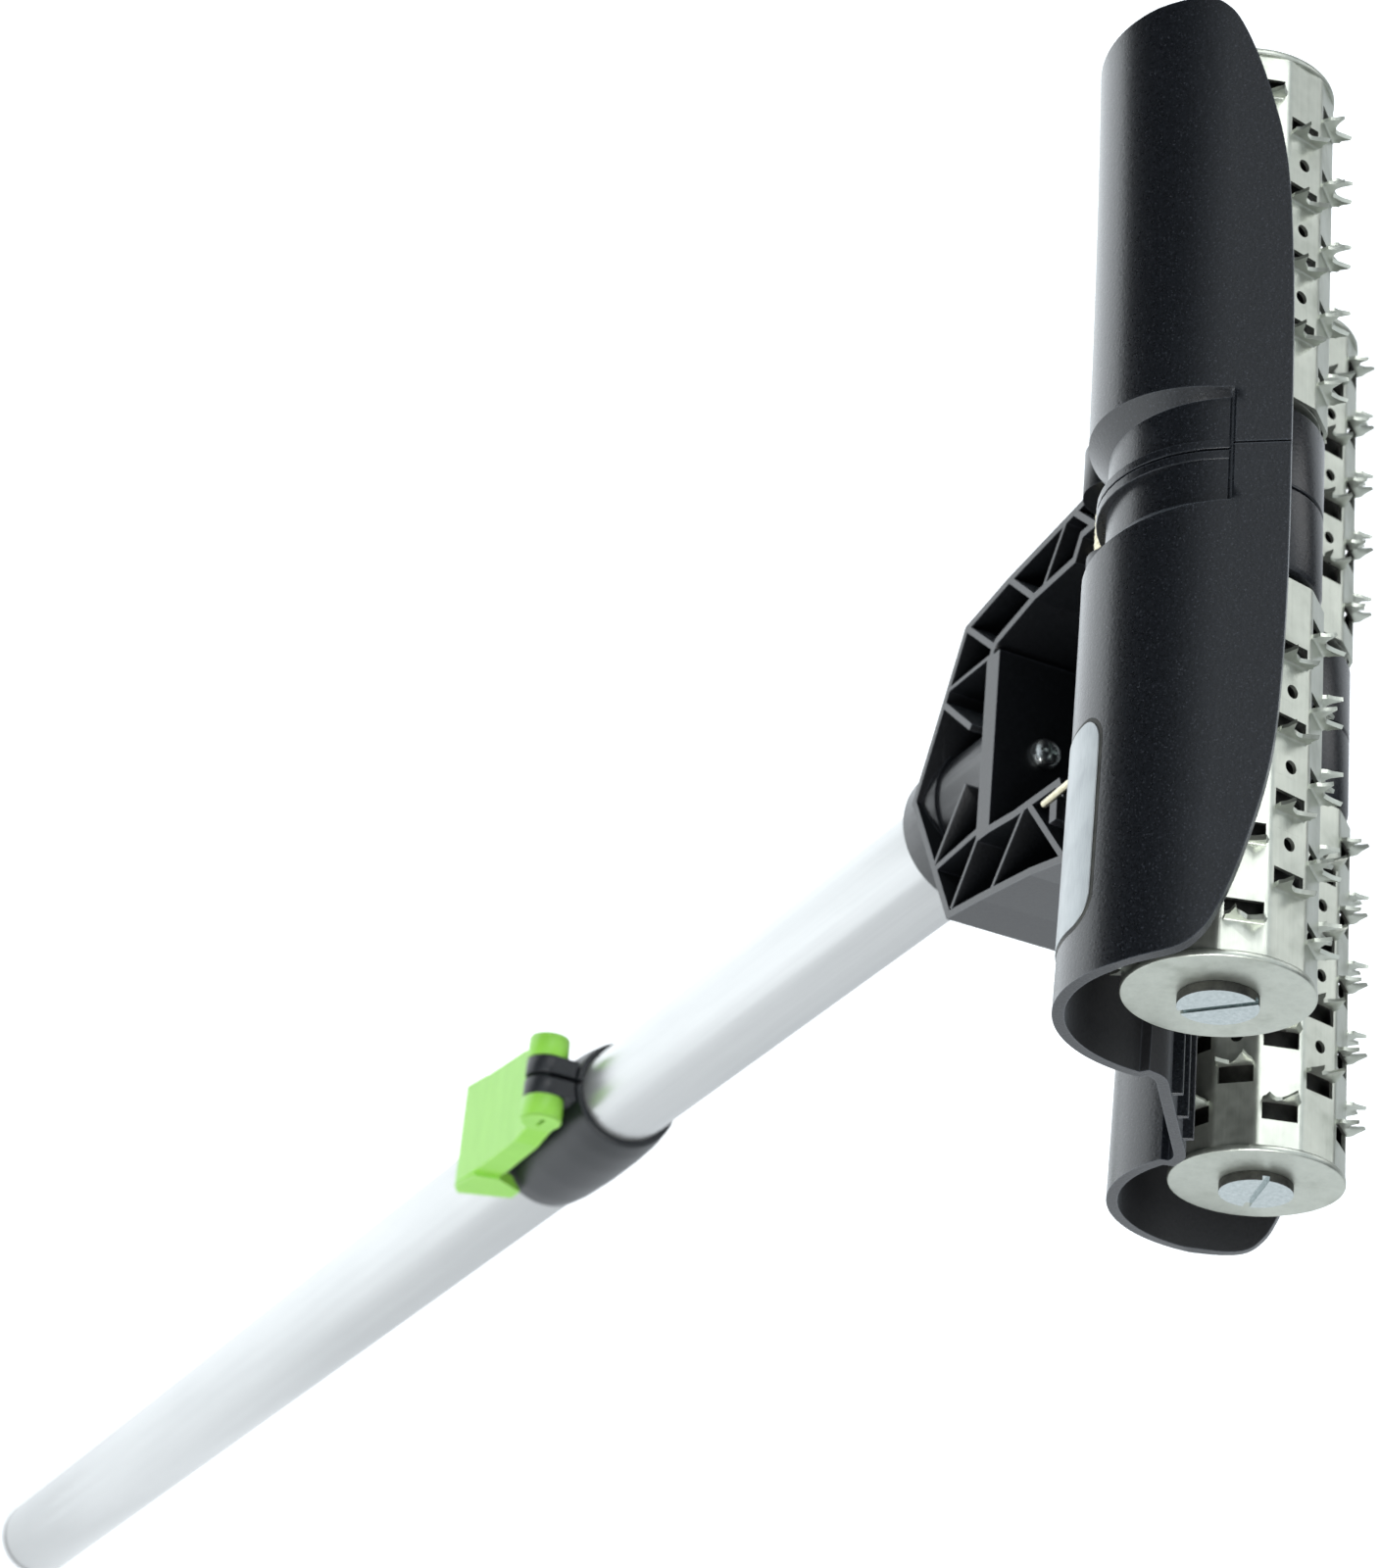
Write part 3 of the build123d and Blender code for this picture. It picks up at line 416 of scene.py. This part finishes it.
# ---- shroud --------------------------------------------------------------------
SHELL_R = 31.0                  # outside of each arch, round its axle
SHELL_T = 2.5
FRONT_Z = 44.3                  # the straight part of the arches' free edge
VALLEY_Z = 15.0                 # outside of the floor between the arches
FILLET_R = 5.0                  # between an arch and the floor
NECK_R = 27.6
NECK_Y, NECK_Z = AXLE_Y + 1.0, AXLE_Z + 1.2
NECK_TOP = 32.0                 # the neck's groove ends here with a small step
STEP_SLOPE = 0.5                # half height of that step
GROOVE_FOOT = (12.4, 11.6)      # where the groove's flank starts, at the wall and round the arch
GROOVE_EDGE = 13.6              # where the flank ends at the wall
WIDENING = math.radians(100)    # the groove is at its widest from this angle on
DRAFT = 1.6                     # how much the arches widen from the middle to their ends
SEAM = 0.22                     # half the gap between the two halves
SHOULDER = 17.4                 # widest reach of the groove
EDGE = [(SHOULDER, 44.3), (40, 44.0), (62, 43.0), (75, 41.5), (86, 39.0), (97, 35.8), (106, 32.3),
        (111, 29.2), (114.2, 24.5), (115.4, 14.0)]
WALL = FRONT_Z - AXLE_Z         # length of the straight wall in front of each arch
FIXED_ARC = math.radians(40)    # below this angle the rows no longer follow the free edge
HUB_R = 18.8
HUB_BORE = 5.2
HUB_END = 20.0
HUB_BOSS_R = 9.8                # a low boss on the hub's end that the bush runs against
HUB_BOSS = 0.4
CROSS_WALLS = ((SEAM, 2.4), (15.6, 18.0))
WALL_TOP_IN, WALL_TOP_OUT = 32.0, 40.0      # heights of the cross walls' two corners
LAP = 0.2                       # how far the inner shapes run into the shell
RIBS_Y = (-12, 0, 12)           # the valley's ribs
RIB_FOOT, RIB_TOP, RIB_HEIGHT = 0.7, 0.5, 2.6
RIB_END = 115.0


def draft(x):
    """The moulding's draft: the arches widen towards their open ends."""
    return DRAFT * (x / EDGE[-1][0]) ** 2


def edge_run(x, curve):
    """How far along the profile the free edge lies at x, from the height FRONT_Z."""
    z = np.interp(x, [c[0] for c in curve], [c[1] for c in curve])
    if z >= AXLE_Z:
        return FRONT_Z - z
    return WALL + SHELL_R * math.asin((AXLE_Z - z) / SHELL_R)


def arch_point(run):
    """A point of the outer profile, and its angle below the front: wall first, then arc."""
    if run <= WALL:
        return AXLE_Y + SHELL_R, FRONT_Z - run, 0.0
    turn = (run - WALL) / SHELL_R
    return AXLE_Y + SHELL_R * math.cos(turn), AXLE_Z - SHELL_R * math.sin(turn), turn


def in_groove(y, z, depth):
    """The same point moved towards the neck's surface; depth 1 lies on it."""
    dy, dz = y - NECK_Y, z - NECK_Z
    reach = math.hypot(dy, dz)
    radius = reach + (NECK_R - reach) * depth
    return NECK_Y + dy / reach * radius, NECK_Z + dz / reach * radius


def profile_rows():
    """Rows of half the shroud's profile, from the free edge to the valley's middle.
    Each is (share of the way from the edge to the fixed arc, run, grooved), with run None
    while the row still follows the edge."""
    fixed = WALL + SHELL_R * FIXED_ARC
    step = (FRONT_Z - NECK_TOP) / fixed
    slope = STEP_SLOPE / fixed
    rows = [(share, None, 0) for share in np.linspace(0, step - 2 * slope, 7)]
    rows += [(step - slope, None, 0.15), (step, None, 0.85)]
    rows += [(share, None, 1) for share in np.linspace(step + slope, 1, 12)]
    drop = SHELL_R + FILLET_R
    low = AXLE_Z - (VALLEY_Z - FILLET_R)
    last = math.pi - math.asin(low / drop)
    rows += [(1, WALL + SHELL_R * turn, 1) for turn in np.linspace(FIXED_ARC, last, 34)[1:]]
    return rows, last


def shroud_sheet():
    """The outer surface of the right-hand half as a grid of points, in the head's frame."""
    curve = smooth_curve(EDGE, 5)
    rows, last = profile_rows()
    fixed = WALL + SHELL_R * FIXED_ARC
    across = [c[0] for c in curve]
    end = across[-1]
    fillet_y = AXLE_Y - math.sqrt((SHELL_R + FILLET_R) ** 2 - (AXLE_Z - VALLEY_Z + FILLET_R) ** 2)
    grid = []
    for share, run, grooved in rows:
        _, _, turn = arch_point(run if run is not None else share * fixed)
        open_out = math.sin(min(turn / WIDENING, 1) * math.pi / 2)
        top = GROOVE_EDGE + (SHOULDER - GROOVE_EDGE) * open_out
        foot = GROOVE_FOOT[0] + (GROOVE_FOOT[1] - GROOVE_FOOT[0]) * open_out
        places = [(SEAM + (foot - SEAM) * k / 4, 1.0) for k in range(5)]
        places += [(foot + (top - foot) * k / 4, 1 - k / 4) for k in (1, 2, 3)]
        places += [(top + (x - SHOULDER) * (end - top) / (end - SHOULDER), 0.0) for x in across]
        row = []
        for x, depth in places:
            along = run
            if run is None:
                start = edge_run(x, curve)
                along = start + share * (fixed - start)
            y, z, turn = arch_point(along)
            y, z = y + draft(x) * math.cos(turn), z - draft(x) * math.sin(turn)
            if grooved and depth:
                y, z = in_groove(y, z, depth * grooved)
            row.append((x, y, z))
        grid.append(row)
    # from the end of the arc round the fillet, then along the valley's floor to its middle
    tail = grid[-1]
    for part in np.linspace(0, 1, 6)[1:]:
        turn = last + (math.pi / 2 - last) * part
        y = fillet_y - FILLET_R * math.cos(turn)
        z = VALLEY_Z - FILLET_R + FILLET_R * math.sin(turn)
        fade = 1 - part
        lift = [(p[1] - tail[-1][1], p[2] - tail[-1][2]) for p in tail]
        grid.append([(p[0], y + dy * fade, z + dz * fade) for p, (dy, dz) in zip(tail, lift)])
    for y in (fillet_y * 0.6, fillet_y * 0.25, 0.0):
        grid.append([(p[0], y, VALLEY_Z) for p in grid[-1]])
    return grid


def both_lobes(grid):
    """The near lobe's rows, then the far lobe's in the other order."""
    return grid + [[(x, -y, z) for x, y, z in row] for row in reversed(grid[:-1])]


def shroud_inside(solids):
    """Hubs, cross walls and ribs that the arches hold, on the right-hand half."""
    inner = SHELL_R - SHELL_T + LAP
    for sign in (1, -1):
        hub = [(SEAM, HUB_BORE), (SEAM, HUB_R - 0.3), (SEAM + 0.3, HUB_R), (HUB_END - 1.6, HUB_R),
               (HUB_END - 0.5, HUB_R - 0.5), (HUB_END, HUB_R - 1.6), (HUB_END, HUB_BOSS_R + HUB_BOSS),
               (HUB_END + HUB_BOSS, HUB_BOSS_R), (HUB_END + HUB_BOSS, HUB_BORE)]
        solids.lathe(hub, sign * AXLE_Y, AXLE_Z)
        turns = np.linspace(0, -math.pi, 25)
        rim = [(sign * (AXLE_Y + inner * math.cos(t)), AXLE_Z + inner * math.sin(t)) for t in turns]
        wall = rim + [(sign * (AXLE_Y - inner), WALL_TOP_IN), (sign * (AXLE_Y + inner), WALL_TOP_OUT)]
        for x0, x1 in CROSS_WALLS:
            solids.prism_x(wall if sign > 0 else wall[::-1], x0, x1)
    floor = VALLEY_Z + SHELL_T - LAP
    for y in RIBS_Y:
        rib = [(y - RIB_FOOT, floor), (y + RIB_FOOT, floor),
               (y + RIB_TOP, floor + RIB_HEIGHT), (y - RIB_TOP, floor + RIB_HEIGHT)]
        solids.prism_x(rib, CROSS_WALLS[1][1], RIB_END)


def make_shroud():
    """Both halves of the shroud: the shell, and the hubs, walls and ribs inside it."""
    rows = both_lobes(shroud_sheet())
    points = [p for row in rows for p in row]
    faces = quads(len(rows), len(rows[0]))
    inside = Solids()
    shroud_inside(inside)
    for side, sign in (("right", 1), ("left", -1)):
        node = "shroud_" + side
        sheet = [(sign * x, y, z) for x, y, z in points]
        turned_faces = faces if sign > 0 else [tuple(reversed(f)) for f in faces]
        shell = piece(node + "_shell", sheet, turned_faces, "shroud_plastic", "head", [node], HEAD)
        thicken(shell, SHELL_T)
        shell.data.materials.append(SHROUD_INSIDE)
        shell.modifiers["thickness"].material_offset = 1
        round_edges(shell, 0.8, 3, 40)
        held = inside if sign > 0 else inside.mirrored()
        hubs = piece(node + "_hubs", held.points, held.faces, "shroud_plastic", "head", [node], HEAD)
        outward(hubs.data)
        round_edges(hubs, 0.35, 2, 40)


# ---- label ---------------------------------------------------------------------
LABEL_MIDDLE = (-80.0, math.radians(72))    # along x, and round the near axle below its near side
LABEL_HALF = (22.9, 13.4)                   # half length, half width round the arch
LABEL_CORNER = 6.0


def label_plate(name, grow, radius, thickness, slot):
    """A thin plate with rounded corners that follows the near arch; grow widens it all round."""
    length, width = LABEL_HALF[0] + grow, LABEL_HALF[1] + grow
    corner = LABEL_CORNER + grow
    across = []
    for s in np.concatenate([-width + corner * (1 - np.cos(np.linspace(0, math.pi / 2, 9))),
                             np.linspace(-width + corner, width - corner, 9)[1:-1],
                             width - corner * (1 - np.cos(np.linspace(math.pi / 2, 0, 9)))]):
        inset = corner - min(corner, width - abs(s))
        across.append((s, length - corner + math.sqrt(max(corner ** 2 - inset ** 2, 0.0))))
    points = []
    for s, reach in across:
        turn = LABEL_MIDDLE[1] + s / SHELL_R
        for x in LABEL_MIDDLE[0] + np.linspace(-reach, reach, 15):
            r = radius + draft(x)
            points.append((x, AXLE_Y + r * math.cos(turn), AXLE_Z - r * math.sin(turn)))
    plate = piece(name, points, quads(len(across), 15), slot, "head", ["label_plate"], HEAD)
    thicken(plate, thickness)
    round_edges(plate, 0.15, 2, 40)
    return plate


def make_label():
    """The blank label, with a dark plate under it whose rim shows round it as the painted shade of the recess it
    lies in.
    """
    recess = label_plate("label_recess_shade", 1.0, SHELL_R + 0.06, 0.4, "yoke_plastic")
    # painted shade: the plate under the label takes the dark shade finish
    recess.data.materials[0] = PAINTED_SHADE
    label_plate("label_face", 0.0, SHELL_R + 0.28, 0.5, "label_grey")


# ---- drums ---------------------------------------------------------------------
DRUM_R = 19.4                   # over the folds
DRUM_SIDES = 12
DRUM_PHASE = math.radians(34.3)
DRUM_IN, DRUM_OUT = 22.0, 108.5
END_PLATE = 1.2
END_BORE_R = 8.0
PITCH = 17.25                   # of the windows in one facet
PLACES = 9                      # places half a pitch apart that hold a window or a hole
WINDOW = 5.2                    # along the roller
HOLE_R = 1.5
TAB_HALF = 4.0                  # half width of a window and of its tab
FLAT_HALF = 4.3                 # half of a facet's flat, up to where the fold begins
SHEET = 0.9
HALF_FACET = math.pi / DRUM_SIDES
APOTHEM = DRUM_R * math.cos(HALF_FACET)
BEND = 0.5                      # inside radius of a tab's bend
CORE_R = 15.5                   # dark sleeve inside the drum, painted shade behind the windows
CORE_WALL = 1.2
CROWN = (1.6, 2.6, 4.9, 3.0, 2.0, 1.6, 2.2, 3.2, 4.6, 2.4, 1.4)     # height of a tab's torn top
JITTER = 0.25                   # how much a tab's top differs from that
SCREW_HEAD_R = 8.2              # of the axle screws


def facet_point(k, x, t, height=0.0):
    """A point on facet k: t across it from its middle, height above it."""
    turn = DRUM_PHASE + HALF_FACET * (2 * k + 1)
    reach = APOTHEM + height
    return x, reach * math.cos(turn) - t * math.sin(turn), reach * math.sin(turn) + t * math.cos(turn)


def fold_points(k, x):
    """The rounded fold between facet k and the next one, between their flats."""
    radius = (DRUM_R * math.sin(HALF_FACET) - FLAT_HALF) / math.tan(HALF_FACET)
    _, y, z = facet_point(k, x, FLAT_HALF, -radius)
    turn = DRUM_PHASE + HALF_FACET * (2 * k + 1)
    turns = [turn + 2 * HALF_FACET * part for part in (1 / 3, 2 / 3)]
    return [(x, y + radius * math.cos(a), z + radius * math.sin(a)) for a in turns]


def tab_columns():
    """Places across a tab."""
    return np.linspace(-TAB_HALF, TAB_HALF, len(CROWN))


def tab(solids, k, edge, into, rng):
    """A tab bent up out of a window: it runs on from the sheet at edge, and into is the
    direction of the window.  Its torn top has two horns, one twisted and one bent back."""
    columns = tab_columns()
    tops = np.array(CROWN) + rng.uniform(-JITTER, JITTER, len(CROWN))
    twist = rng.uniform(0.5, 1.2)
    back = rng.uniform(0.7, 1.6)
    rows = [[facet_point(k, edge, t) for t in columns]]
    for part in (1 / 3, 2 / 3, 1):
        bend = part * math.pi / 2
        x = edge + into * BEND * math.sin(bend)
        rows.append([facet_point(k, x, t, BEND * (1 - math.cos(bend))) for t in columns])
    for part in (0.25, 0.5, 0.75, 1.0):
        row = []
        for i, (t, top) in enumerate(zip(columns, tops)):
            lean = part * part * (top - BEND) / (max(CROWN) - BEND)
            x = edge + into * BEND
            if i < 5:
                t = t - twist * lean
                x += into * 0.3 * lean
            else:
                t = t + 0.4 * lean
                x -= into * back * lean
            row.append(facet_point(k, x, t, BEND + part * (top - BEND)))
        rows.append(row)
    faces = quads(len(rows), len(columns))
    solids.add([p for row in rows for p in row], faces if into > 0 else [f[::-1] for f in faces])


def drum_sheet(facing, seed):
    """The outer surface of a drum on the +x side; facing is the window edge with the tab."""
    rng = np.random.RandomState(seed)
    middle = (DRUM_IN + DRUM_OUT) / 2
    lines = [DRUM_IN]
    for j in range(PLACES):
        centre = middle + (j / 2 - 2) * PITCH
        lines += [centre - WINDOW / 2, centre + WINDOW / 2]
    lines.append(DRUM_OUT)
    solids = Solids()

    def strip(k, i, t0, t1):
        x0, x1 = lines[i], lines[i + 1]
        ring = [facet_point(k, x, t) for x, t in ((x0, t0), (x0, t1), (x1, t1), (x1, t0))]
        solids.add(ring, [(0, 1, 2, 3)])

    for k in range(DRUM_SIDES):
        windows = [2 * j + 1 for j in range(PLACES) if j % 2 != k % 2]
        holes = [2 * j + 1 for j in (2, 4, 6)] if k % 2 == 0 else []
        tabbed = [i - 1 if facing < 0 else i + 1 for i in windows]
        for i in range(len(lines) - 1):
            x0, x1 = lines[i], lines[i + 1]
            strip(k, i, -FLAT_HALF, -TAB_HALF)
            strip(k, i, TAB_HALF, FLAT_HALF)
            fold = [[facet_point(k, x, FLAT_HALF), *fold_points(k, x), facet_point(k + 1, x, -FLAT_HALF)]
                    for x in (x0, x1)]
            solids.add(fold[0] + fold[1], quads(2, 4))
            if i in windows:
                edge = x0 if facing < 0 else x1
                tab(solids, k, edge, -facing, rng)
            elif i in holes:
                pierced(solids, k, x0, x1)
            elif i in tabbed:
                fine = [(x1 if facing < 0 else x0, t) for t in tab_columns()]
                if facing < 0:
                    rim = [(x0, -TAB_HALF), (x0, TAB_HALF)] + fine[::-1]
                else:
                    rim = fine + [(x1, TAB_HALF), (x1, -TAB_HALF)]
                solids.add([facet_point(k, x, t) for x, t in rim], [tuple(range(len(rim)))])
            else:
                strip(k, i, -TAB_HALF, TAB_HALF)
    return solids


def pierced(solids, k, x0, x1):
    """A piece of facet with a round hole in it."""
    middle, steps = (x0 + x1) / 2, 24
    ring, rim = [], []
    for i in range(steps):
        a = 2 * math.pi * i / steps
        dx, dt = math.cos(a), math.sin(a)
        out = min((x1 - x0) / 2 / max(abs(dx), 1e-9), TAB_HALF / max(abs(dt), 1e-9))
        ring.append(facet_point(k, middle + HOLE_R * dx, HOLE_R * dt))
        rim.append((middle + out * dx, out * dt))
    corner = math.atan2(TAB_HALF, (x1 - x0) / 2)
    near = [round(a / (2 * math.pi) * steps) % steps for a in
            (corner, math.pi - corner, math.pi + corner, 2 * math.pi - corner)]
    signs = ((1, 1), (-1, 1), (-1, -1), (1, -1))
    for i, (sx, st) in zip(near, signs):
        rim[i] = (middle + sx * (x1 - x0) / 2, st * TAB_HALF)
    points = ring + [facet_point(k, x, t) for x, t in rim]
    faces = [(i, (i + 1) % steps, steps + (i + 1) % steps, steps + i) for i in range(steps)]
    solids.add(points, faces)


def make_drums():
    """The four drums: pierced sheet with its tabs, end plates and a dark sleeve inside, painted shade behind the
    windows.
    """
    for number, body in enumerate(("near_left", "near_right", "far_left", "far_right")):
        side = -1 if "left" in body else 1
        sign, facing = (1, -1) if "near" in body else (-1, 1)
        sheet = drum_sheet(facing * side, 7 + number)
        points = [(side * x, y + sign * AXLE_Y, z + AXLE_Z) for x, y, z in sheet.points]
        faces = sheet.faces if side > 0 else [f[::-1] for f in sheet.faces]
        node = body + "_drum"
        shell = piece(node + "_sheet", points, faces, "drum_steel", body, [node], HEAD, 25)
        thicken(shell, SHEET)
        # the sheet's inner side gets painted shade for the drum's hollow, and the tabs keep the bright finish on
        # both sides
        for finish in (PAINTED_SHADE, MATERIALS["drum_steel"], MATERIALS["drum_steel"]):
            shell.data.materials.append(finish)
        for face in shell.data.polygons:
            _, y, z = (TO_HEAD @ face.center) / MM
            if math.hypot(y - sign * AXLE_Y, z - AXLE_Z) > DRUM_R:
                face.material_index = 2
        shell.modifiers["thickness"].material_offset = 1
        round_edges(shell, 0.12, 1, 40)
        plates = Solids()
        rim = APOTHEM - SHEET + 0.1
        for x0, x1 in ((DRUM_IN, DRUM_IN + END_PLATE), (DRUM_OUT - END_PLATE, DRUM_OUT)):
            plates.lathe([(x0, END_BORE_R), (x0, rim), (x1, rim), (x1, END_BORE_R)],
                         sign * AXLE_Y, AXLE_Z)
        plates = plates if side > 0 else plates.mirrored()
        ends = piece(node + "_ends", plates.points, plates.faces, "drum_steel", body, [node], HEAD)
        outward(ends.data)
        round_edges(ends, 0.2, 2, 40)
        # painted shade: a dark sleeve fills the drum's hollow behind the windows
        core = Solids()
        x0, x1 = DRUM_IN + 1.0, DRUM_OUT - 1.0
        core.lathe([(x0, CORE_R - CORE_WALL), (x0, CORE_R), (x1, CORE_R), (x1, CORE_R - CORE_WALL)],
                   sign * AXLE_Y, AXLE_Z)
        core = core if side > 0 else core.mirrored()
        sleeve = piece(node + "_core", core.points, core.faces, "drum_steel", body, [node], HEAD)
        outward(sleeve.data)
        sleeve.data.materials[0] = PAINTED_SHADE


# ---- carried-over CAD nodes ---------------------------------------------------
def dress(node):
    """Gives a CAD node its finish, and breaks its sharp edges with a small bevel."""
    part = frame["nodes"][node]
    part.data.materials.clear()
    part.data.materials.append(MATERIALS[SLOTS[node]])
    for face in part.data.polygons:
        face.material_index = 0
    weld = part.modifiers.new("weld", "WELD")
    weld.merge_threshold = 0.002 * MM
    round_edges(part, 0.35)


def paint_screw_head_shade():
    """Painted shade: the turned sides of the axle screws' heads get the dark shade finish."""
    screws = frame["nodes"]["axle_screws"]
    screws.data.materials.append(PAINTED_SHADE)
    for face in screws.data.polygons:
        _, y, z = (TO_HEAD @ face.center) / MM
        if abs(face.normal.x) < 0.3 and math.hypot(abs(y) - AXLE_Y, z - AXLE_Z) > SCREW_HEAD_R - 0.6:
            face.material_index = 1


make_shroud()
make_label()
make_drums()
for name, cad_node in frame["nodes"].items():
    if not cad_node.hide_render:
        dress(name)
paint_screw_head_shade()


# ---- studio --------------------------------------------------------------------
CAMERA_PLACE = (-0.43255, 0.39682, 1.54512)
CAMERA_RIGHT = (0.09073, -0.89824, 0.43004)
CAMERA_UP = (0.88466, 0.27100, 0.37940)
LENS, SENSOR = 89.0, 36.0       # millimetres
TOP_SIDE = Vector((0.494, 0.089, 0.865))        # towards the top light, which the facets mirror
CARD_SIDE = Vector((0.494, 0.82, -0.22))        # towards the card, which the shroud mirrors
KEY_PLACE = (-1.5, 0.5, 1.7)
FILL_PLACE = (0.9, -1.5, 1.85)


def make_camera():
    """The view from above the head, looking down along the pole."""
    data = bpy.data.cameras.new("camera")
    camera = bpy.data.objects.new("camera", data)
    bpy.context.scene.collection.objects.link(camera)
    right, up = Vector(CAMERA_RIGHT), Vector(CAMERA_UP)
    turn = Matrix((right, up, right.cross(up))).transposed().to_4x4()
    camera.matrix_world = Matrix.Translation(CAMERA_PLACE) @ turn
    data.sensor_fit = "VERTICAL"
    data.sensor_width = SENSOR
    data.sensor_height = SENSOR
    data.lens = LENS
    focus = bpy.data.objects.new("focus", None)
    bpy.context.scene.collection.objects.link(focus)
    focus.location = HEAD @ (Vector((-60, AXLE_Y, AXLE_Z)) * MM)
    data.dof.use_dof = True
    data.dof.focus_object = focus
    data.dof.aperture_fstop = 28
    bpy.context.scene.camera = camera


def make_floor():
    """A plain white floor, blank to the camera.  In reflections its glow fades towards -X and -Y,
    which shades one side of the tubes."""
    bpy.ops.mesh.primitive_plane_add(size=30, location=(0, 0, -0.0005))
    floor = bpy.context.object
    floor.name = "floor"
    n = Nodes("floor_paint")
    tone = n.blend(n.noise(3.0, 2.0), srgb(178, 180, 182), srgb(190, 191, 192))
    ground = n.add("ShaderNodeSeparateXYZ", Vector=n.place)
    across = n.sum(ground.outputs["X"], ground.outputs["Y"], 0.9)
    glow = n.span(across, 0.45, 1.5, -0.4, 0.5)
    seen = n.add("ShaderNodeLightPath").outputs["Is Camera Ray"]
    floor.data.materials.append(n.set(Base_Color=tone, Roughness=0.8, Emission_Color=(0.93, 0.975, 1, 1),
                                      Emission_Strength=n.blend(seen, glow, (1.2, 1.2, 1.2, 1))))


def area_light(name, place, target, size, power):
    """A soft rectangle of light aimed at the target; size in metres, power in watts."""
    data = bpy.data.lights.new(name, "AREA")
    data.shape = "RECTANGLE"
    data.size, data.size_y = size
    data.energy = power
    light = bpy.data.objects.new(name, data)
    bpy.context.scene.collection.objects.link(light)
    light.location = place
    light.rotation_euler = (Vector(target) - Vector(place)).to_track_quat("-Z", "Y").to_euler()


def black_flag(place, target, size):
    """A dark card beside the set that only shows in reflections."""
    bpy.ops.mesh.primitive_plane_add(size=1, location=place)
    card = bpy.context.object
    card.name = "flag"
    card.scale = (size[0], size[1], 1)
    card.rotation_euler = (Vector(target) - Vector(place)).to_track_quat("Z", "Y").to_euler()
    for ray in ("camera", "diffuse", "shadow", "transmission"):
        setattr(card, "visible_" + ray, False)
    n = Nodes("flag_felt")
    tone = n.blend(n.noise(60.0, 2.0), srgb(8, 8, 9), srgb(16, 16, 18))
    card.data.materials.append(n.set(Base_Color=tone, Roughness=0.9, Specular_IOR_Level=0.0))


def make_lights():
    """A large key beside the camera, a low fill, a light behind the drums and a dark card that
    draws the shadow band along the shroud."""
    head = HEAD.translation
    black_flag(head + 0.62 * CARD_SIDE, head, (1.1, 0.42))
    area_light("key", KEY_PLACE, head, (0.9, 0.9), 26)
    area_light("fill", FILL_PLACE, head, (0.9, 0.9), 3.5)
    area_light("top", head + 1.5 * TOP_SIDE, head, (0.7, 0.7), 6)


def make_sky():
    """A dim room that brightens overhead, and is blank white to the camera."""
    world = bpy.data.worlds.new("studio")
    bpy.context.scene.world = world
    world.use_nodes = True
    tree = world.node_tree
    background = tree.nodes["Background"]
    background.inputs["Color"].default_value = (0.86, 0.93, 1.0, 1)
    place = tree.nodes.new("ShaderNodeTexCoord")
    split = tree.nodes.new("ShaderNodeSeparateXYZ")
    span = tree.nodes.new("ShaderNodeMapRange")
    span.interpolation_type = "SMOOTHSTEP"
    for key, value in (("From Min", 0.15), ("From Max", 0.85), ("To Min", 0.04), ("To Max", 0.9)):
        span.inputs[key].default_value = value
    tree.links.new(place.outputs["Generated"], split.inputs["Vector"])
    tree.links.new(split.outputs["Z"], span.inputs["Value"])
    tree.links.new(span.outputs["Result"], background.inputs["Strength"])
    blank = tree.nodes.new("ShaderNodeBackground")
    blank.inputs["Color"].default_value = (1, 1, 1, 1)
    mix = tree.nodes.new("ShaderNodeMixShader")
    seen = tree.nodes.new("ShaderNodeLightPath")
    tree.links.new(seen.outputs["Is Camera Ray"], mix.inputs["Fac"])
    tree.links.new(background.outputs["Background"], mix.inputs[1])
    tree.links.new(blank.outputs["Background"], mix.inputs[2])
    tree.links.new(mix.outputs["Shader"], tree.nodes["World Output"].inputs["Surface"])


make_camera()
make_floor()
make_lights()
make_sky()
bpy.context.scene.view_settings.view_transform = "Standard"
